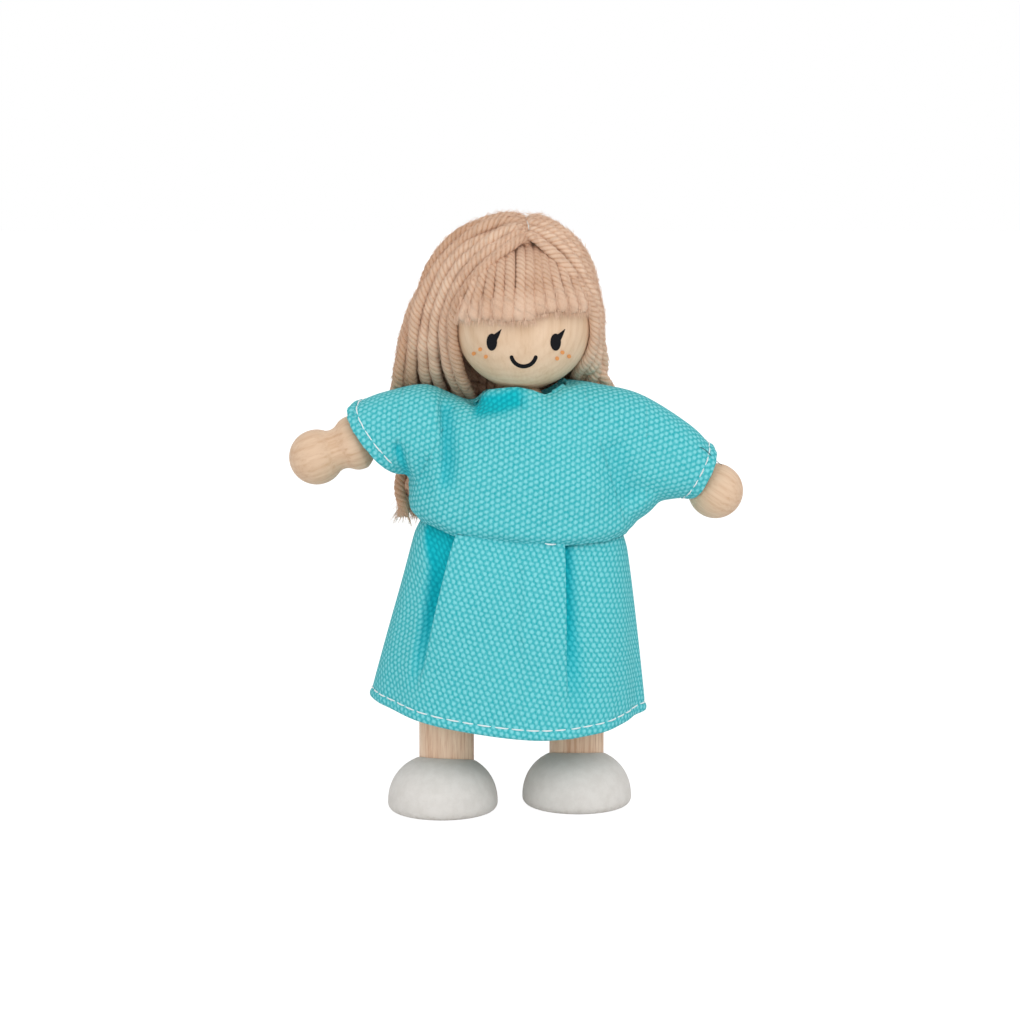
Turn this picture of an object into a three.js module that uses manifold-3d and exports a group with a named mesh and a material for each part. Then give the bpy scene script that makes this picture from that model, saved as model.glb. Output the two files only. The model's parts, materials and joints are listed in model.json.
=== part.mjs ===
// Wooden dollhouse figure: strung ball-and-cup limbs, a yarn wig and a canvas dress.
// Millimetres. The figure stands on the XY plane, +Z up, and faces -Y, so its own right is towards -X.
import * as THREE from "three";
import { mergeVertices } from "three/addons/utils/BufferGeometryUtils.js";
import Module from "manifold-3d";

const wasm = await Module();
wasm.setup();

// Fits
const SEAT_GAP = 0.3; // between a bead and its cup, and between pieces that lie against each other
const CORD_R = 0.8;
const CORD_BORE_R = 1.6;
const BORE_FLARE_R = 2.3; // countersink that lets the elastic bend where it leaves a bore
const BORE_FLARE_DEPTH = 1.6;

// Head and neck
const HEAD_R = 15;
const NECK_BEAD_R = 5;
const NECK_SEAT_DEPTH = 2.2; // how far the torso's top lies behind the bead's centre, towards the hips
const HEAD_BEAD_SINK = 2; // how far the neck bead reaches into the head
const HEAD_TILT = 1.6;
const HEAD_BORE_DEPTH = 8;

// Torso, measured from the line between the hip centres
const HIP_HALF_SPAN = 14.3;
const SHOULDER_HALF_SPAN = 15.5;
const SHOULDER_HEIGHT = 33.5;
const SHOULDER_TO_TOP = 4.8;
const TORSO_HALF_DEPTH = 8.3;
const TORSO_ROUNDING = 3.5;
const HIP_WALL = 1.2; // wood left outside the hip cup
const WAIST_HALF_WIDTH = 12.2;
const WAIST_HEIGHT = 24;
const SHOULDER_SEAT_SLANT = 15; // the shoulder seat looks outwards and this far downwards
const SHOULDER_SEAT_SET = 2; // the seat's face lies this far behind the bead's centre
const HIP_SEAT_SLANT = 30; // the seat under the hips looks down and this far forwards
const HIP_SEAT_SET = 2.1;
const LEG_BORE_DEPTH = 14;

// Beads and limbs
const LIMB_R = 6;
const LEG_BEAD_R = 5;
const ARM_BEAD_R = 4;
const CUP_MOUTH = 41; // half angle of a limb's cup, seen from the bead's centre
const CUP_RIM_WALL = 0.5;
const LIMB_SHOULDER = 3.2; // length over which a limb's end comes up to the full radius
const THIGH_LENGTH = 22;
const KNEE_HEIGHT = 26.3;
const SHIN_BORE_DEPTH = 12;
const DOWEL_CHAMFER = 0.6;
const UPPER_ARM_LENGTH = 14;
const FOREARM_LENGTH = 15.9; // elbow centre to the centre of the hand ball
const HAND_R = 6;
const WRIST_R = 4.4;
const WRIST_LENGTH = 0.9; // straight stretch between the cuff and the hand ball
const CUFF_END = 7.4; // where the cuff starts to draw in, from the elbow centre
const HAND_BORE_PAST_WRIST = 2.5;

// Feet
const FOOT_R = 12;
const FOOT_HEIGHT = 12;
const FOOT_EDGE_ROUND = 1.6;
const FOOT_TOE_SET = 3.5; // the leg stands this far behind the middle of the foot
const FOOT_SOCKET_FLOOR = 4;

// Stance in the photograph
const THIGH_SLANT = 5.2; // both thighs lean to the figure's right
const STRIDE = 7.2; // right thigh forwards, left thigh backwards
const RIGHT_TOE_OUT = 13;
const LEFT_TOE_OUT = 0;
const RIGHT_UPPER_ARM_DROP = -3.1;
const RIGHT_FOREARM_DROP = 20.5;
const LEFT_UPPER_ARM_DROP = 13.8;
const LEFT_FOREARM_DROP = 33.9;

// Dress
const CLOTH = 0.9;
const CLOTH_EASE = 0.6; // least space between the cloth and the wood inside it
const BODICE_ROOM = 2.8; // more room in front of the torso and behind it, at the waist
const WAIST_SQUARENESS = 0.76; // power of the sine and cosine of the waist's oval: 1 is an ellipse
const BODICE_BLOUSE = 2; // how far the bodice bulges over the waist seam
const DRESS_WAIST_HEIGHT = 13.4; // waist seam above the hip centres
const WAIST_TILT = 1.7; // the waist seam hangs lower on the figure's left
const NECK_HOLE_HALF_WIDTH = 9.9;
const NECK_HOLE_HALF_DEPTH = 7.4;
const BACK_SLIT = 0.8;
const CLOSURE_WIDTH = 7;
const CLOSURE_LENGTH = 17;
const CLOSURE_THICKNESS = 0.8;
const PLEAT_DEPTH = 1.9;
const PLEAT_TUCK = 0.5; // how far a pleat's fold lies under the panel
const PLEAT_RIGHT_TOP = -14.7; // the panel's edges across the front, at the waist and at the hem
const PLEAT_RIGHT_HEM = -22.5;
const PLEAT_LEFT_TOP = 9.9;
const PLEAT_LEFT_HEM = 10.5;
const SKIRT_LENGTH = 44.1; // down the front
const HEM_SIDE_RISE = 6.8;
const HEM_BACK_RISE = 2;
const HEM_TO_RIGHT = 32.8; // how far the hem reaches from the figure's middle
const HEM_TO_LEFT = 27.2;
const HEM_TO_FRONT = 22;
const HEM_TO_BACK = 20;
const HEM_WAVE = 0.7;

// Hair
const YARN_D = 2.4;
const HAIR_DROP = 44; // lowest hair below the head's centre
const FRINGE_STRANDS = 11;
const SIDE_STRANDS = 12;

// Fineness of the round shapes
const LIMB_SIDES = 16;
const BEAD_SIDES = 14;
const BEAD_ARC_STEPS = 6;
const CORD_SIDES = 8;

const WOOD = new THREE.MeshStandardMaterial({ color: 0xe3c6a4, roughness: 0.6, metalness: 0 });
const PAINTED = new THREE.MeshStandardMaterial({ color: 0xe6e2dc, roughness: 0.85, metalness: 0 });
const ELASTIC = new THREE.MeshStandardMaterial({ color: 0xf2efe8, roughness: 0.9, metalness: 0 });
const YARN = new THREE.MeshStandardMaterial({ color: 0xdcb592, roughness: 1, metalness: 0 });
const CANVAS = new THREE.MeshStandardMaterial({ color: 0x45c9cc, roughness: 0.95, metalness: 0 });
const TAPE = new THREE.MeshStandardMaterial({ color: 0xeeeeea, roughness: 0.9, metalness: 0 });

// Sizes that follow from those above
const wristDistance = FOREARM_LENGTH - Math.sqrt(HAND_R ** 2 - WRIST_R ** 2); // from the elbow centre
const handBoreEnd = wristDistance + HAND_BORE_PAST_WRIST;
const hipHalfWidth = HIP_HALF_SPAN + LEG_BEAD_R + SEAT_GAP + HIP_WALL;
const waistHalfWidth = hipHalfWidth + CLOTH_EASE + CLOTH;
const waistHalfDepth = TORSO_HALF_DEPTH + BODICE_ROOM + CLOTH_EASE + CLOTH;
const torsoTop = SHOULDER_HEIGHT + SHOULDER_TO_TOP;
const neckHeight = torsoTop + NECK_SEAT_DEPTH;
const neckDrop = HEAD_R + NECK_BEAD_R - HEAD_BEAD_SINK; // head centre above the neck bead
const cutReach = 3 * SHOULDER_HEIGHT; // longer than any piece, for solids that only cut

const radians = THREE.MathUtils.degToRad;
const vec = (x, y, z) => new THREE.Vector3(x, y, z);
const at = (x, y) => new THREE.Vector2(x, y);
const signedPower = (value, power) => Math.sign(value) * Math.abs(value) ** power;

// Solids

function solidOf(geometry) {
  const bare = geometry.clone();
  bare.deleteAttribute("normal");
  bare.deleteAttribute("uv");
  const merged = mergeVertices(bare, 1e-4);
  const corners = merged.index.array;
  const kept = [];
  for (let i = 0; i < corners.length; i += 3) {
    const [a, b, c] = [corners[i], corners[i + 1], corners[i + 2]];
    if (a !== b && b !== c && c !== a) kept.push(a, b, c);
  }
  return new wasm.Manifold(
    new wasm.Mesh({
      numProp: 3,
      vertProperties: merged.attributes.position.array,
      triVerts: new Uint32Array(kept),
    }),
  );
}

function geometryOf(solid) {
  const mesh = solid.getMesh();
  const geometry = new THREE.BufferGeometry();
  geometry.setAttribute("position", new THREE.BufferAttribute(mesh.vertProperties, 3));
  geometry.setIndex(new THREE.BufferAttribute(mesh.triVerts, 1));
  geometry.computeVertexNormals();
  return geometry;
}

// The largest body of a solid: cutting soft shapes can leave slivers beside it.
function mainBody(solid) {
  return solid.decompose().reduce((a, b) => (b.volume() > a.volume() ? b : a));
}

// A profile of (radius, height) points turned about Z. It runs up the outside and down a bore.
function turned(profile, sides) {
  return new THREE.LatheGeometry(profile, sides).rotateX(Math.PI / 2);
}

function cylinderAlong(radius, from, to, sides = LIMB_SIDES) {
  const run = to.clone().sub(from);
  const shape = new THREE.CylinderGeometry(radius, radius, run.length(), sides);
  const turn = new THREE.Quaternion().setFromUnitVectors(vec(0, 1, 0), run.clone().normalize());
  const middle = from.clone().addScaledVector(run, 0.5);
  return shape.applyQuaternion(turn).translate(middle.x, middle.y, middle.z);
}

// Rings of points joined into one closed surface, with a fan at each end.
function loft(rings) {
  const count = rings[0].length;
  const points = rings.flat();
  const triangles = [];
  for (let i = 0; i + 1 < rings.length; i++) {
    for (let j = 0; j < count; j++) {
      const a = i * count + j;
      const b = i * count + ((j + 1) % count);
      triangles.push(a, b, b + count, a, b + count, a + count);
    }
  }
  for (const [ring, flip] of [[0, true], [rings.length - 1, false]]) {
    const middle = rings[ring].reduce((sum, p) => sum.add(p), vec(0, 0, 0)).divideScalar(count);
    points.push(middle);
    for (let j = 0; j < count; j++) {
      const pair = [ring * count + j, ring * count + ((j + 1) % count)];
      triangles.push(points.length - 1, ...(flip ? pair.reverse() : pair));
    }
  }
  return fromPoints(points, triangles);
}

function fromPoints(points, triangles) {
  const geometry = new THREE.BufferGeometry().setFromPoints(points);
  geometry.setIndex(triangles);
  return geometry;
}

// A slab between two grids of points, inner and outer, closed along its four edges.
function slab(inner, outer) {
  const rows = outer.length;
  const columns = outer[0].length;
  const points = [...outer.flat(), ...inner.flat()];
  const top = (i, j) => i * columns + j;
  const under = (i, j) => rows * columns + top(i, j);
  const triangles = [];
  const quad = (a, b, c, d) => triangles.push(a, b, c, a, c, d);
  for (let i = 0; i + 1 < rows; i++) {
    for (let j = 0; j + 1 < columns; j++) {
      quad(top(i, j), top(i + 1, j), top(i + 1, j + 1), top(i, j + 1));
      quad(under(i, j), under(i, j + 1), under(i + 1, j + 1), under(i + 1, j));
    }
  }
  for (let i = 0; i + 1 < rows; i++) {
    quad(top(i, 0), under(i, 0), under(i + 1, 0), top(i + 1, 0));
    quad(top(i + 1, columns - 1), under(i + 1, columns - 1), under(i, columns - 1), top(i, columns - 1));
  }
  for (let j = 0; j + 1 < columns; j++) {
    quad(top(0, j + 1), under(0, j + 1), under(0, j), top(0, j));
    quad(top(rows - 1, j), under(rows - 1, j), under(rows - 1, j + 1), top(rows - 1, j + 1));
  }
  return fromPoints(points, triangles);
}

function piece(parent, name, geometry, material) {
  const mesh = new THREE.Mesh(geometry, material);
  mesh.name = name;
  parent.add(mesh);
  return mesh;
}

function groupAt(parent, name, position) {
  const group = new THREE.Group();
  group.name = name;
  group.position.copy(position);
  parent.add(group);
  return group;
}

// Turned wooden pieces

// A strung bead: a ball with a bore along Z whose mouths are countersunk.
function bead(radius) {
  const mouth = Math.sqrt(radius ** 2 - BORE_FLARE_R ** 2);
  const start = Math.asin(BORE_FLARE_R / radius);
  const profile = [];
  for (let i = 0; i <= BEAD_ARC_STEPS; i++) {
    const angle = start + ((Math.PI - 2 * start) * i) / BEAD_ARC_STEPS;
    profile.push(at(radius * Math.sin(angle), -radius * Math.cos(angle)));
  }
  profile.push(at(CORD_BORE_R, mouth - BORE_FLARE_DEPTH));
  profile.push(at(CORD_BORE_R, BORE_FLARE_DEPTH - mouth));
  profile.push(profile[0].clone());
  return turned(profile, BEAD_SIDES);
}

// The end of a limb that cups a bead: from the bore over the flare, the cup, the rim and the shoulder.
// Heights are distances from the bead's centre along the limb.
function cupEnd(beadR) {
  const seat = beadR + SEAT_GAP;
  const mouth = radians(CUP_MOUTH);
  const first = Math.asin(BORE_FLARE_R / seat);
  const rim = at(seat * Math.sin(mouth) + CUP_RIM_WALL, seat * Math.cos(mouth));
  const flareTop = Math.sqrt(seat ** 2 - BORE_FLARE_R ** 2);
  const points = [at(CORD_BORE_R, flareTop + BORE_FLARE_DEPTH)];
  for (let i = 0; i <= 3; i++) {
    const angle = first + ((mouth - first) * i) / 3;
    points.push(at(seat * Math.sin(angle), seat * Math.cos(angle)));
  }
  const control = at(LIMB_R, rim.y + 0.72 * LIMB_SHOULDER);
  const end = at(LIMB_R, rim.y + LIMB_SHOULDER);
  return [...points, ...new THREE.QuadraticBezierCurve(rim, control, end).getPoints(3)];
}

// Turns distances below the upper joint into heights.
const below = (points) => points.map((p) => at(p.x, -p.y));

// A limb with a cup at both ends, hanging from the joint at the origin.
function strungLimb(length, beadR) {
  const upper = cupEnd(beadR);
  const lower = cupEnd(beadR).map((p) => at(p.x, length - p.y));
  const profile = below([...upper, ...lower.reverse(), upper[0]]).reverse();
  return turned(profile, LIMB_SIDES);
}

// The forearm hangs from the elbow at the origin: cup, cuff, drawn-in wrist and ball hand.
function forearm() {
  const ballStart = Math.PI - Math.asin(WRIST_R / HAND_R);
  const neck = wristDistance - WRIST_LENGTH;
  const cuff = new THREE.QuadraticBezierCurve(
    at(LIMB_R, CUFF_END),
    at(LIMB_R - 0.2, neck - 1.2),
    at(WRIST_R, neck),
  );
  const ball = [];
  const steps = 9;
  for (let i = 0; i <= steps; i++) {
    const angle = ballStart * (1 - i / steps);
    ball.push(at(HAND_R * Math.sin(angle), FOREARM_LENGTH + HAND_R * Math.cos(angle)));
  }
  const bore = [at(0, handBoreEnd), at(CORD_BORE_R, handBoreEnd)];
  const profile = below([...bore, ...cupEnd(ARM_BEAD_R), ...cuff.getPoints(4), ...ball]).reverse();
  return turned(profile, LIMB_SIDES);
}

// The shin hangs from the knee at the origin and ends in the foot's socket.
function shin() {
  const end = KNEE_HEIGHT - FOOT_SOCKET_FLOOR - SEAT_GAP;
  const dowel = [at(LIMB_R, end - DOWEL_CHAMFER), at(LIMB_R - DOWEL_CHAMFER, end), at(0, end)];
  const bore = [at(0, SHIN_BORE_DEPTH), at(CORD_BORE_R, SHIN_BORE_DEPTH)];
  return turned(below([...bore, ...cupEnd(LEG_BEAD_R), ...dowel]).reverse(), LIMB_SIDES);
}

// The foot stands at the origin under the leg's axis. Its dome reaches forwards of the leg.
function foot() {
  const profile = [at(0, 0), at(FOOT_R - FOOT_EDGE_ROUND, 0)];
  for (let i = 1; i <= 3; i++) {
    const angle = (Math.PI / 2) * (i / 3);
    const out = FOOT_R - FOOT_EDGE_ROUND * (1 - Math.sin(angle));
    profile.push(at(out, FOOT_EDGE_ROUND * (1 - Math.cos(angle))));
  }
  const steps = 8;
  for (let i = 1; i <= steps; i++) {
    const angle = (Math.PI / 2) * (i / steps);
    const rise = (FOOT_HEIGHT - FOOT_EDGE_ROUND) * Math.sin(angle) ** 0.92;
    profile.push(at(FOOT_R * Math.cos(angle) ** 0.86, FOOT_EDGE_ROUND + rise));
  }
  profile[profile.length - 1].x = 0;
  const dome = solidOf(turned(profile, 28).translate(0, -FOOT_TOE_SET, 0));
  const floor = vec(0, 0, FOOT_SOCKET_FLOOR);
  const socket = cylinderAlong(LIMB_R + SEAT_GAP, floor, vec(0, 0, cutReach), 20);
  return geometryOf(dome.subtract(solidOf(socket)));
}

const sphereAt = (radius, centre, across = 16, up = 10) =>
  new THREE.SphereGeometry(radius, across, up).rotateX(Math.PI / 2).translate(centre.x, centre.y, centre.z);

// The torso's front outline, symmetrical about Z, with a facet for each shoulder seat.
function torsoOutline() {
  const slant = radians(SHOULDER_SEAT_SLANT);
  const facet = (height) => {
    const middle = SHOULDER_HALF_SPAN - SHOULDER_SEAT_SET * Math.cos(slant);
    const drop = height - (SHOULDER_HEIGHT + SHOULDER_SEAT_SET * Math.sin(slant));
    return at(middle + drop * Math.tan(slant), height);
  };
  const top = facet(torsoTop);
  const facetEnd = facet(SHOULDER_HEIGHT - ARM_BEAD_R - SEAT_GAP - 1);
  const right = [
    at(top.x, top.y),
    facetEnd,
    ...new THREE.CubicBezierCurve(
      facetEnd,
      at(WAIST_HALF_WIDTH - 1.5, WAIST_HEIGHT),
      at(hipHalfWidth, WAIST_HEIGHT - 8),
      at(hipHalfWidth, 2),
    ).getPoints(7).slice(1),
    at(hipHalfWidth, -HIP_HALF_SPAN),
  ];
  const left = right.map((p) => at(-p.x, p.y)).reverse();
  return new THREE.Shape([...right, ...left]);
}

function torso() {
  const round = TORSO_ROUNDING;
  const block = new THREE.ExtrudeGeometry(torsoOutline(), {
    depth: 2 * (TORSO_HALF_DEPTH - round),
    bevelThickness: round,
    bevelSize: round,
    bevelOffset: -round,
    bevelSegments: 3,
    curveSegments: 8,
  });
  block.translate(0, 0, round - TORSO_HALF_DEPTH).rotateX(Math.PI / 2);
  let solid = solidOf(block);
  const seatCut = new THREE.BoxGeometry(cutReach, cutReach, cutReach);
  seatCut.translate(0, 0, HIP_SEAT_SET - cutReach / 2);
  seatCut.rotateX(radians(-HIP_SEAT_SLANT));
  solid = solid.subtract(solidOf(seatCut));
  const cuts = [
    sphereAt(NECK_BEAD_R + SEAT_GAP, vec(0, 0, neckHeight)),
    cylinderAlong(CORD_BORE_R, vec(0, 0, SHOULDER_HEIGHT), vec(0, 0, torsoTop + 2), 12),
    cylinderAlong(
      CORD_BORE_R,
      vec(-SHOULDER_HALF_SPAN, 0, SHOULDER_HEIGHT),
      vec(SHOULDER_HALF_SPAN, 0, SHOULDER_HEIGHT),
      12,
    ),
  ];
  for (const side of [-1, 1]) {
    const hip = vec(side * HIP_HALF_SPAN, 0, 0);
    cuts.push(sphereAt(ARM_BEAD_R + SEAT_GAP, vec(side * SHOULDER_HALF_SPAN, 0, SHOULDER_HEIGHT)));
    cuts.push(sphereAt(LEG_BEAD_R + SEAT_GAP, hip));
    cuts.push(cylinderAlong(CORD_BORE_R, hip, hip.clone().setZ(LEG_BORE_DEPTH), 12));
  }
  for (const cut of cuts) solid = solid.subtract(solidOf(cut));
  return geometryOf(solid);
}

// The head: its centre is at the origin and the neck bead lies straight below.
function head() {
  const bead = vec(0, 0, -neckDrop);
  const ball = solidOf(sphereAt(HEAD_R, vec(0, 0, 0), 28, 16));
  const bore = cylinderAlong(CORD_BORE_R, bead, vec(0, 0, -HEAD_R + HEAD_BORE_DEPTH), 12);
  return geometryOf(ball.subtract(solidOf(sphereAt(NECK_BEAD_R + SEAT_GAP, bead))).subtract(solidOf(bore)));
}

// A round elastic along a smooth curve through points.
function cord(points, steps) {
  const curve = new THREE.CatmullRomCurve3(points, false, "centripetal");
  const section = new THREE.Shape(
    Array.from({ length: CORD_SIDES }, (_, i) => {
      const angle = (2 * Math.PI * i) / CORD_SIDES;
      return at(CORD_R * Math.cos(angle), CORD_R * Math.sin(angle));
    }),
  );
  return new THREE.ExtrudeGeometry(section, { steps, extrudePath: curve, bevelEnabled: false });
}

// Skeleton: one group for each joint centre, in the photographed stance

const figure = new THREE.Group();
const rightTurn = new THREE.Euler(radians(-STRIDE), radians(THIGH_SLANT), 0);
const leftTurn = new THREE.Euler(radians(STRIDE), radians(THIGH_SLANT), 0);
const hipHeight = KNEE_HEIGHT + THIGH_LENGTH * Math.cos(radians(STRIDE)) * Math.cos(radians(THIGH_SLANT));

const torsoGroup = groupAt(figure, "torso_frame", vec(0, 0, hipHeight));
const neckGroup = groupAt(torsoGroup, "neck_joint", vec(0, 0, neckHeight));
neckGroup.rotation.y = radians(HEAD_TILT);
const headGroup = groupAt(neckGroup, "head_frame", vec(0, 0, neckDrop));

piece(torsoGroup, "torso_block", torso(), WOOD);
piece(neckGroup, "neck_bead", bead(NECK_BEAD_R), WOOD);
piece(headGroup, "head_ball", head(), WOOD);

// Arms: side is -1 for the figure's right and 1 for its left. Drops are below the horizontal.
function arm(side, name, upperDrop, forearmDrop) {
  const outwards = (drop) => Math.PI / 2 - radians(drop);
  const seat = vec(side * SHOULDER_HALF_SPAN, 0, SHOULDER_HEIGHT);
  const shoulder = groupAt(torsoGroup, name + "_shoulder_joint", seat);
  const upper = groupAt(shoulder, name + "_upper_arm_frame", vec(0, 0, 0));
  upper.rotation.y = -side * outwards(upperDrop);
  const elbow = groupAt(upper, name + "_elbow_joint", vec(0, 0, -UPPER_ARM_LENGTH));
  const lower = groupAt(elbow, name + "_forearm_frame", vec(0, 0, 0));
  lower.rotation.y = side * radians(forearmDrop - upperDrop);
  const shoulderBead = piece(shoulder, name + "_shoulder_bead", bead(ARM_BEAD_R), WOOD);
  shoulderBead.rotation.y = (-side * (Math.PI / 2 + outwards(upperDrop))) / 2;
  piece(upper, name + "_upper_arm", strungLimb(UPPER_ARM_LENGTH, ARM_BEAD_R), WOOD);
  const elbowBead = piece(elbow, name + "_elbow_bead", bead(ARM_BEAD_R), WOOD);
  elbowBead.rotation.y = lower.rotation.y / 2;
  piece(lower, name + "_forearm_hand", forearm(), WOOD);
  return { shoulder, upper, elbow, lower };
}

// Legs: the thigh leans, the shin stands upright and turns its toe outwards.
function leg(side, name, turn, toeOut) {
  const hip = groupAt(torsoGroup, name + "_hip_joint", vec(side * HIP_HALF_SPAN, 0, 0));
  const thigh = groupAt(hip, name + "_thigh_frame", vec(0, 0, 0));
  thigh.rotation.copy(turn);
  const knee = groupAt(thigh, name + "_knee_joint", vec(0, 0, -THIGH_LENGTH));
  knee.quaternion.setFromEuler(turn).invert();
  const shank = groupAt(knee, name + "_shin_frame", vec(0, 0, 0));
  shank.rotation.z = side * radians(toeOut);
  const halfTurn = new THREE.Quaternion().setFromEuler(turn);
  const straight = new THREE.Quaternion();
  const hipBead = piece(hip, name + "_hip_bead", bead(LEG_BEAD_R), WOOD);
  hipBead.quaternion.slerpQuaternions(straight, halfTurn, 0.5);
  piece(thigh, name + "_thigh", strungLimb(THIGH_LENGTH, LEG_BEAD_R), WOOD);
  const kneeBead = piece(knee, name + "_knee_bead", bead(LEG_BEAD_R), WOOD);
  kneeBead.quaternion.slerpQuaternions(straight, halfTurn, 0.5);
  piece(shank, name + "_shin", shin(), WOOD);
  piece(shank, name + "_foot", foot(), PAINTED).position.z = -KNEE_HEIGHT;
  return { hip, thigh, knee, shank };
}

const rightArm = arm(-1, "right", RIGHT_UPPER_ARM_DROP, RIGHT_FOREARM_DROP);
const leftArm = arm(1, "left", LEFT_UPPER_ARM_DROP, LEFT_FOREARM_DROP);
const rightLeg = leg(-1, "right", rightTurn, RIGHT_TOE_OUT);
const leftLeg = leg(1, "left", leftTurn, LEFT_TOE_OUT);
figure.updateMatrixWorld(true);

const worldPoint = (group, x, y, z) => group.localToWorld(vec(x, y, z));

// Elastic cords, each through the middle of the pieces that it strings

const armRoute = ({ shoulder, upper, elbow, lower }) => [
  worldPoint(lower, 0, 0, SEAT_GAP - handBoreEnd),
  worldPoint(lower, 0, 0, -ARM_BEAD_R - BORE_FLARE_DEPTH),
  worldPoint(elbow, 0, 0, 0),
  worldPoint(upper, 0, 0, -UPPER_ARM_LENGTH / 2),
  worldPoint(shoulder, 0, 0, 0),
];
const armCord = cord(
  [...armRoute(rightArm), worldPoint(torsoGroup, 0, 0, SHOULDER_HEIGHT), ...armRoute(leftArm).reverse()],
  30,
);
piece(figure, "arm_cord", armCord, ELASTIC);

for (const [name, { hip, thigh, knee, shank }] of [["right", rightLeg], ["left", leftLeg]]) {
  const route = [
    worldPoint(hip, 0, 0, LEG_BORE_DEPTH - SEAT_GAP),
    worldPoint(hip, 0, 0, LEG_BEAD_R + BORE_FLARE_DEPTH),
    worldPoint(hip, 0, 0, 0),
    worldPoint(thigh, 0, 0, -THIGH_LENGTH / 2),
    worldPoint(knee, 0, 0, 0),
    worldPoint(shank, 0, 0, -LEG_BEAD_R - BORE_FLARE_DEPTH),
    worldPoint(shank, 0, 0, -SHIN_BORE_DEPTH + SEAT_GAP),
  ];
  piece(figure, name + "_leg_cord", cord(route, 16), ELASTIC);
}

const neckRoute = [
  worldPoint(torsoGroup, 0, 0, SHOULDER_HEIGHT + 2 * CORD_R + SEAT_GAP),
  worldPoint(neckGroup, 0, 0, 0),
  worldPoint(headGroup, 0, 0, -HEAD_R + HEAD_BORE_DEPTH - SEAT_GAP),
];
piece(figure, "neck_cord", cord(neckRoute, 8), ELASTIC);

// Dress: two lofts, one from sleeve hem to sleeve hem and one up the body, are joined and hollowed

// A sleeve section round the arm: its edges lie above and below the arm's axis in the XZ plane.
// Slant is the lean of the section's line from the vertical, towards the figure's right.
function section(centre, slant, up, down, halfDepth) {
  const line = vec(-Math.sin(radians(slant)), 0, Math.cos(radians(slant)));
  const top = centre.clone().addScaledVector(line, up);
  const bottom = centre.clone().addScaledVector(line, -down);
  return { top, bottom, halfDepth };
}

const RING_POINTS = 20;

function ringOf({ top, bottom, halfDepth }, grow) {
  const middle = top.clone().add(bottom).multiplyScalar(0.5);
  const half = top.clone().sub(bottom).multiplyScalar(0.5);
  half.setLength(half.length() + grow);
  return Array.from({ length: RING_POINTS }, (_, i) => {
    const angle = (2 * Math.PI * i) / RING_POINTS;
    const [c, s] = [Math.cos(angle), Math.sin(angle)];
    const along = signedPower(c, 0.85);
    const out = signedPower(s, 0.85);
    return middle.clone().addScaledVector(half, along).add(vec(0, -out * (halfDepth + grow), 0));
  });
}

// An end section moved along the sleeve, to cut the hem open.
function beyond(last, before, reach) {
  const moved = (key) => last[key].clone().add(last[key].clone().sub(before[key]).setLength(reach));
  return { top: moved("top"), bottom: moved("bottom"), halfDepth: last.halfDepth };
}

const snug = LIMB_R + CLOTH_EASE + CLOTH;
const onArm = (group, distance) => worldPoint(group, 0, 0, -distance);
const chest = (x, overTorso, under, room) =>
  section(
    worldPoint(torsoGroup, x, 0, SHOULDER_HEIGHT),
    0,
    torsoTop - SHOULDER_HEIGHT + overTorso,
    under,
    TORSO_HALF_DEPTH + room,
  );

const sleeves = [
  section(onArm(rightArm.lower, 3.3), 37, snug + 2, snug + 4.9, snug + 0.4),
  section(onArm(rightArm.upper, UPPER_ARM_LENGTH - 2.5), 19, snug + 1.6, snug + 4, snug + 1.4),
  section(onArm(rightArm.upper, 4.5), 4, snug + 2.6, snug + 5.5, snug + 2.4),
  chest(4.4 - SHOULDER_HALF_SPAN, 2.8, 15, 3.1),
  chest(9 - SHOULDER_HALF_SPAN, 5.8, 16, 3.1),
  chest(SHOULDER_HALF_SPAN - 12, 5.4, 16, 3.1),
  chest(SHOULDER_HALF_SPAN - 6, 7.3, 16, 2.9),
  chest(SHOULDER_HALF_SPAN, 6.5, 16, 2.3),
  section(onArm(leftArm.upper, UPPER_ARM_LENGTH - 5), -8, snug + 3.6, snug + 5.2, snug + 1.6),
  section(onArm(leftArm.lower, 4.5), -26, snug + 1.2, snug + 2.2, snug + 1.2),
  section(onArm(leftArm.lower, wristDistance - 1.4), -30, snug - 0.2, snug - 0.4, snug + 0.4),
];

const bodyRings = [
  { height: DRESS_WAIST_HEIGHT, wide: 0, deep: 0 },
  { height: DRESS_WAIST_HEIGHT + 1.4, wide: BODICE_BLOUSE * 0.8, deep: BODICE_BLOUSE * 0.8 },
  { height: DRESS_WAIST_HEIGHT + 5, wide: BODICE_BLOUSE, deep: BODICE_BLOUSE * 0.9 },
  { height: DRESS_WAIST_HEIGHT + 12, wide: BODICE_BLOUSE * 0.4, deep: BODICE_BLOUSE * 0.7 },
  { height: torsoTop - 5.9, wide: -5.5, deep: 0 },
  { height: torsoTop - 1.9, wide: -9.5, deep: -1 },
];

function bodyLoft(grow, underWaist) {
  const rings = bodyRings.map(({ height, wide, deep }, row) =>
    Array.from({ length: 32 }, (_, i) => {
      const angle = (2 * Math.PI * i) / 32;
      const x = (waistHalfWidth + wide + grow) * signedPower(Math.cos(angle), WAIST_SQUARENESS);
      const y = (waistHalfDepth + deep + grow) * signedPower(Math.sin(angle), WAIST_SQUARENESS);
      const tilt = -x * Math.tan(radians(WAIST_TILT));
      const ends = row === 0 ? -underWaist : row === bodyRings.length - 1 ? grow : 0;
      return worldPoint(torsoGroup, x, y, height + tilt + ends);
    }),
  );
  return solidOf(loft(rings));
}

function sleeveLoft(grow, pastHems) {
  const rows = [...sleeves];
  if (pastHems) {
    rows.unshift(beyond(sleeves[0], sleeves[1], pastHems));
    rows.push(beyond(sleeves.at(-1), sleeves.at(-2), pastHems));
  }
  return solidOf(loft(rows.map((row) => ringOf(row, grow))));
}

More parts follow.
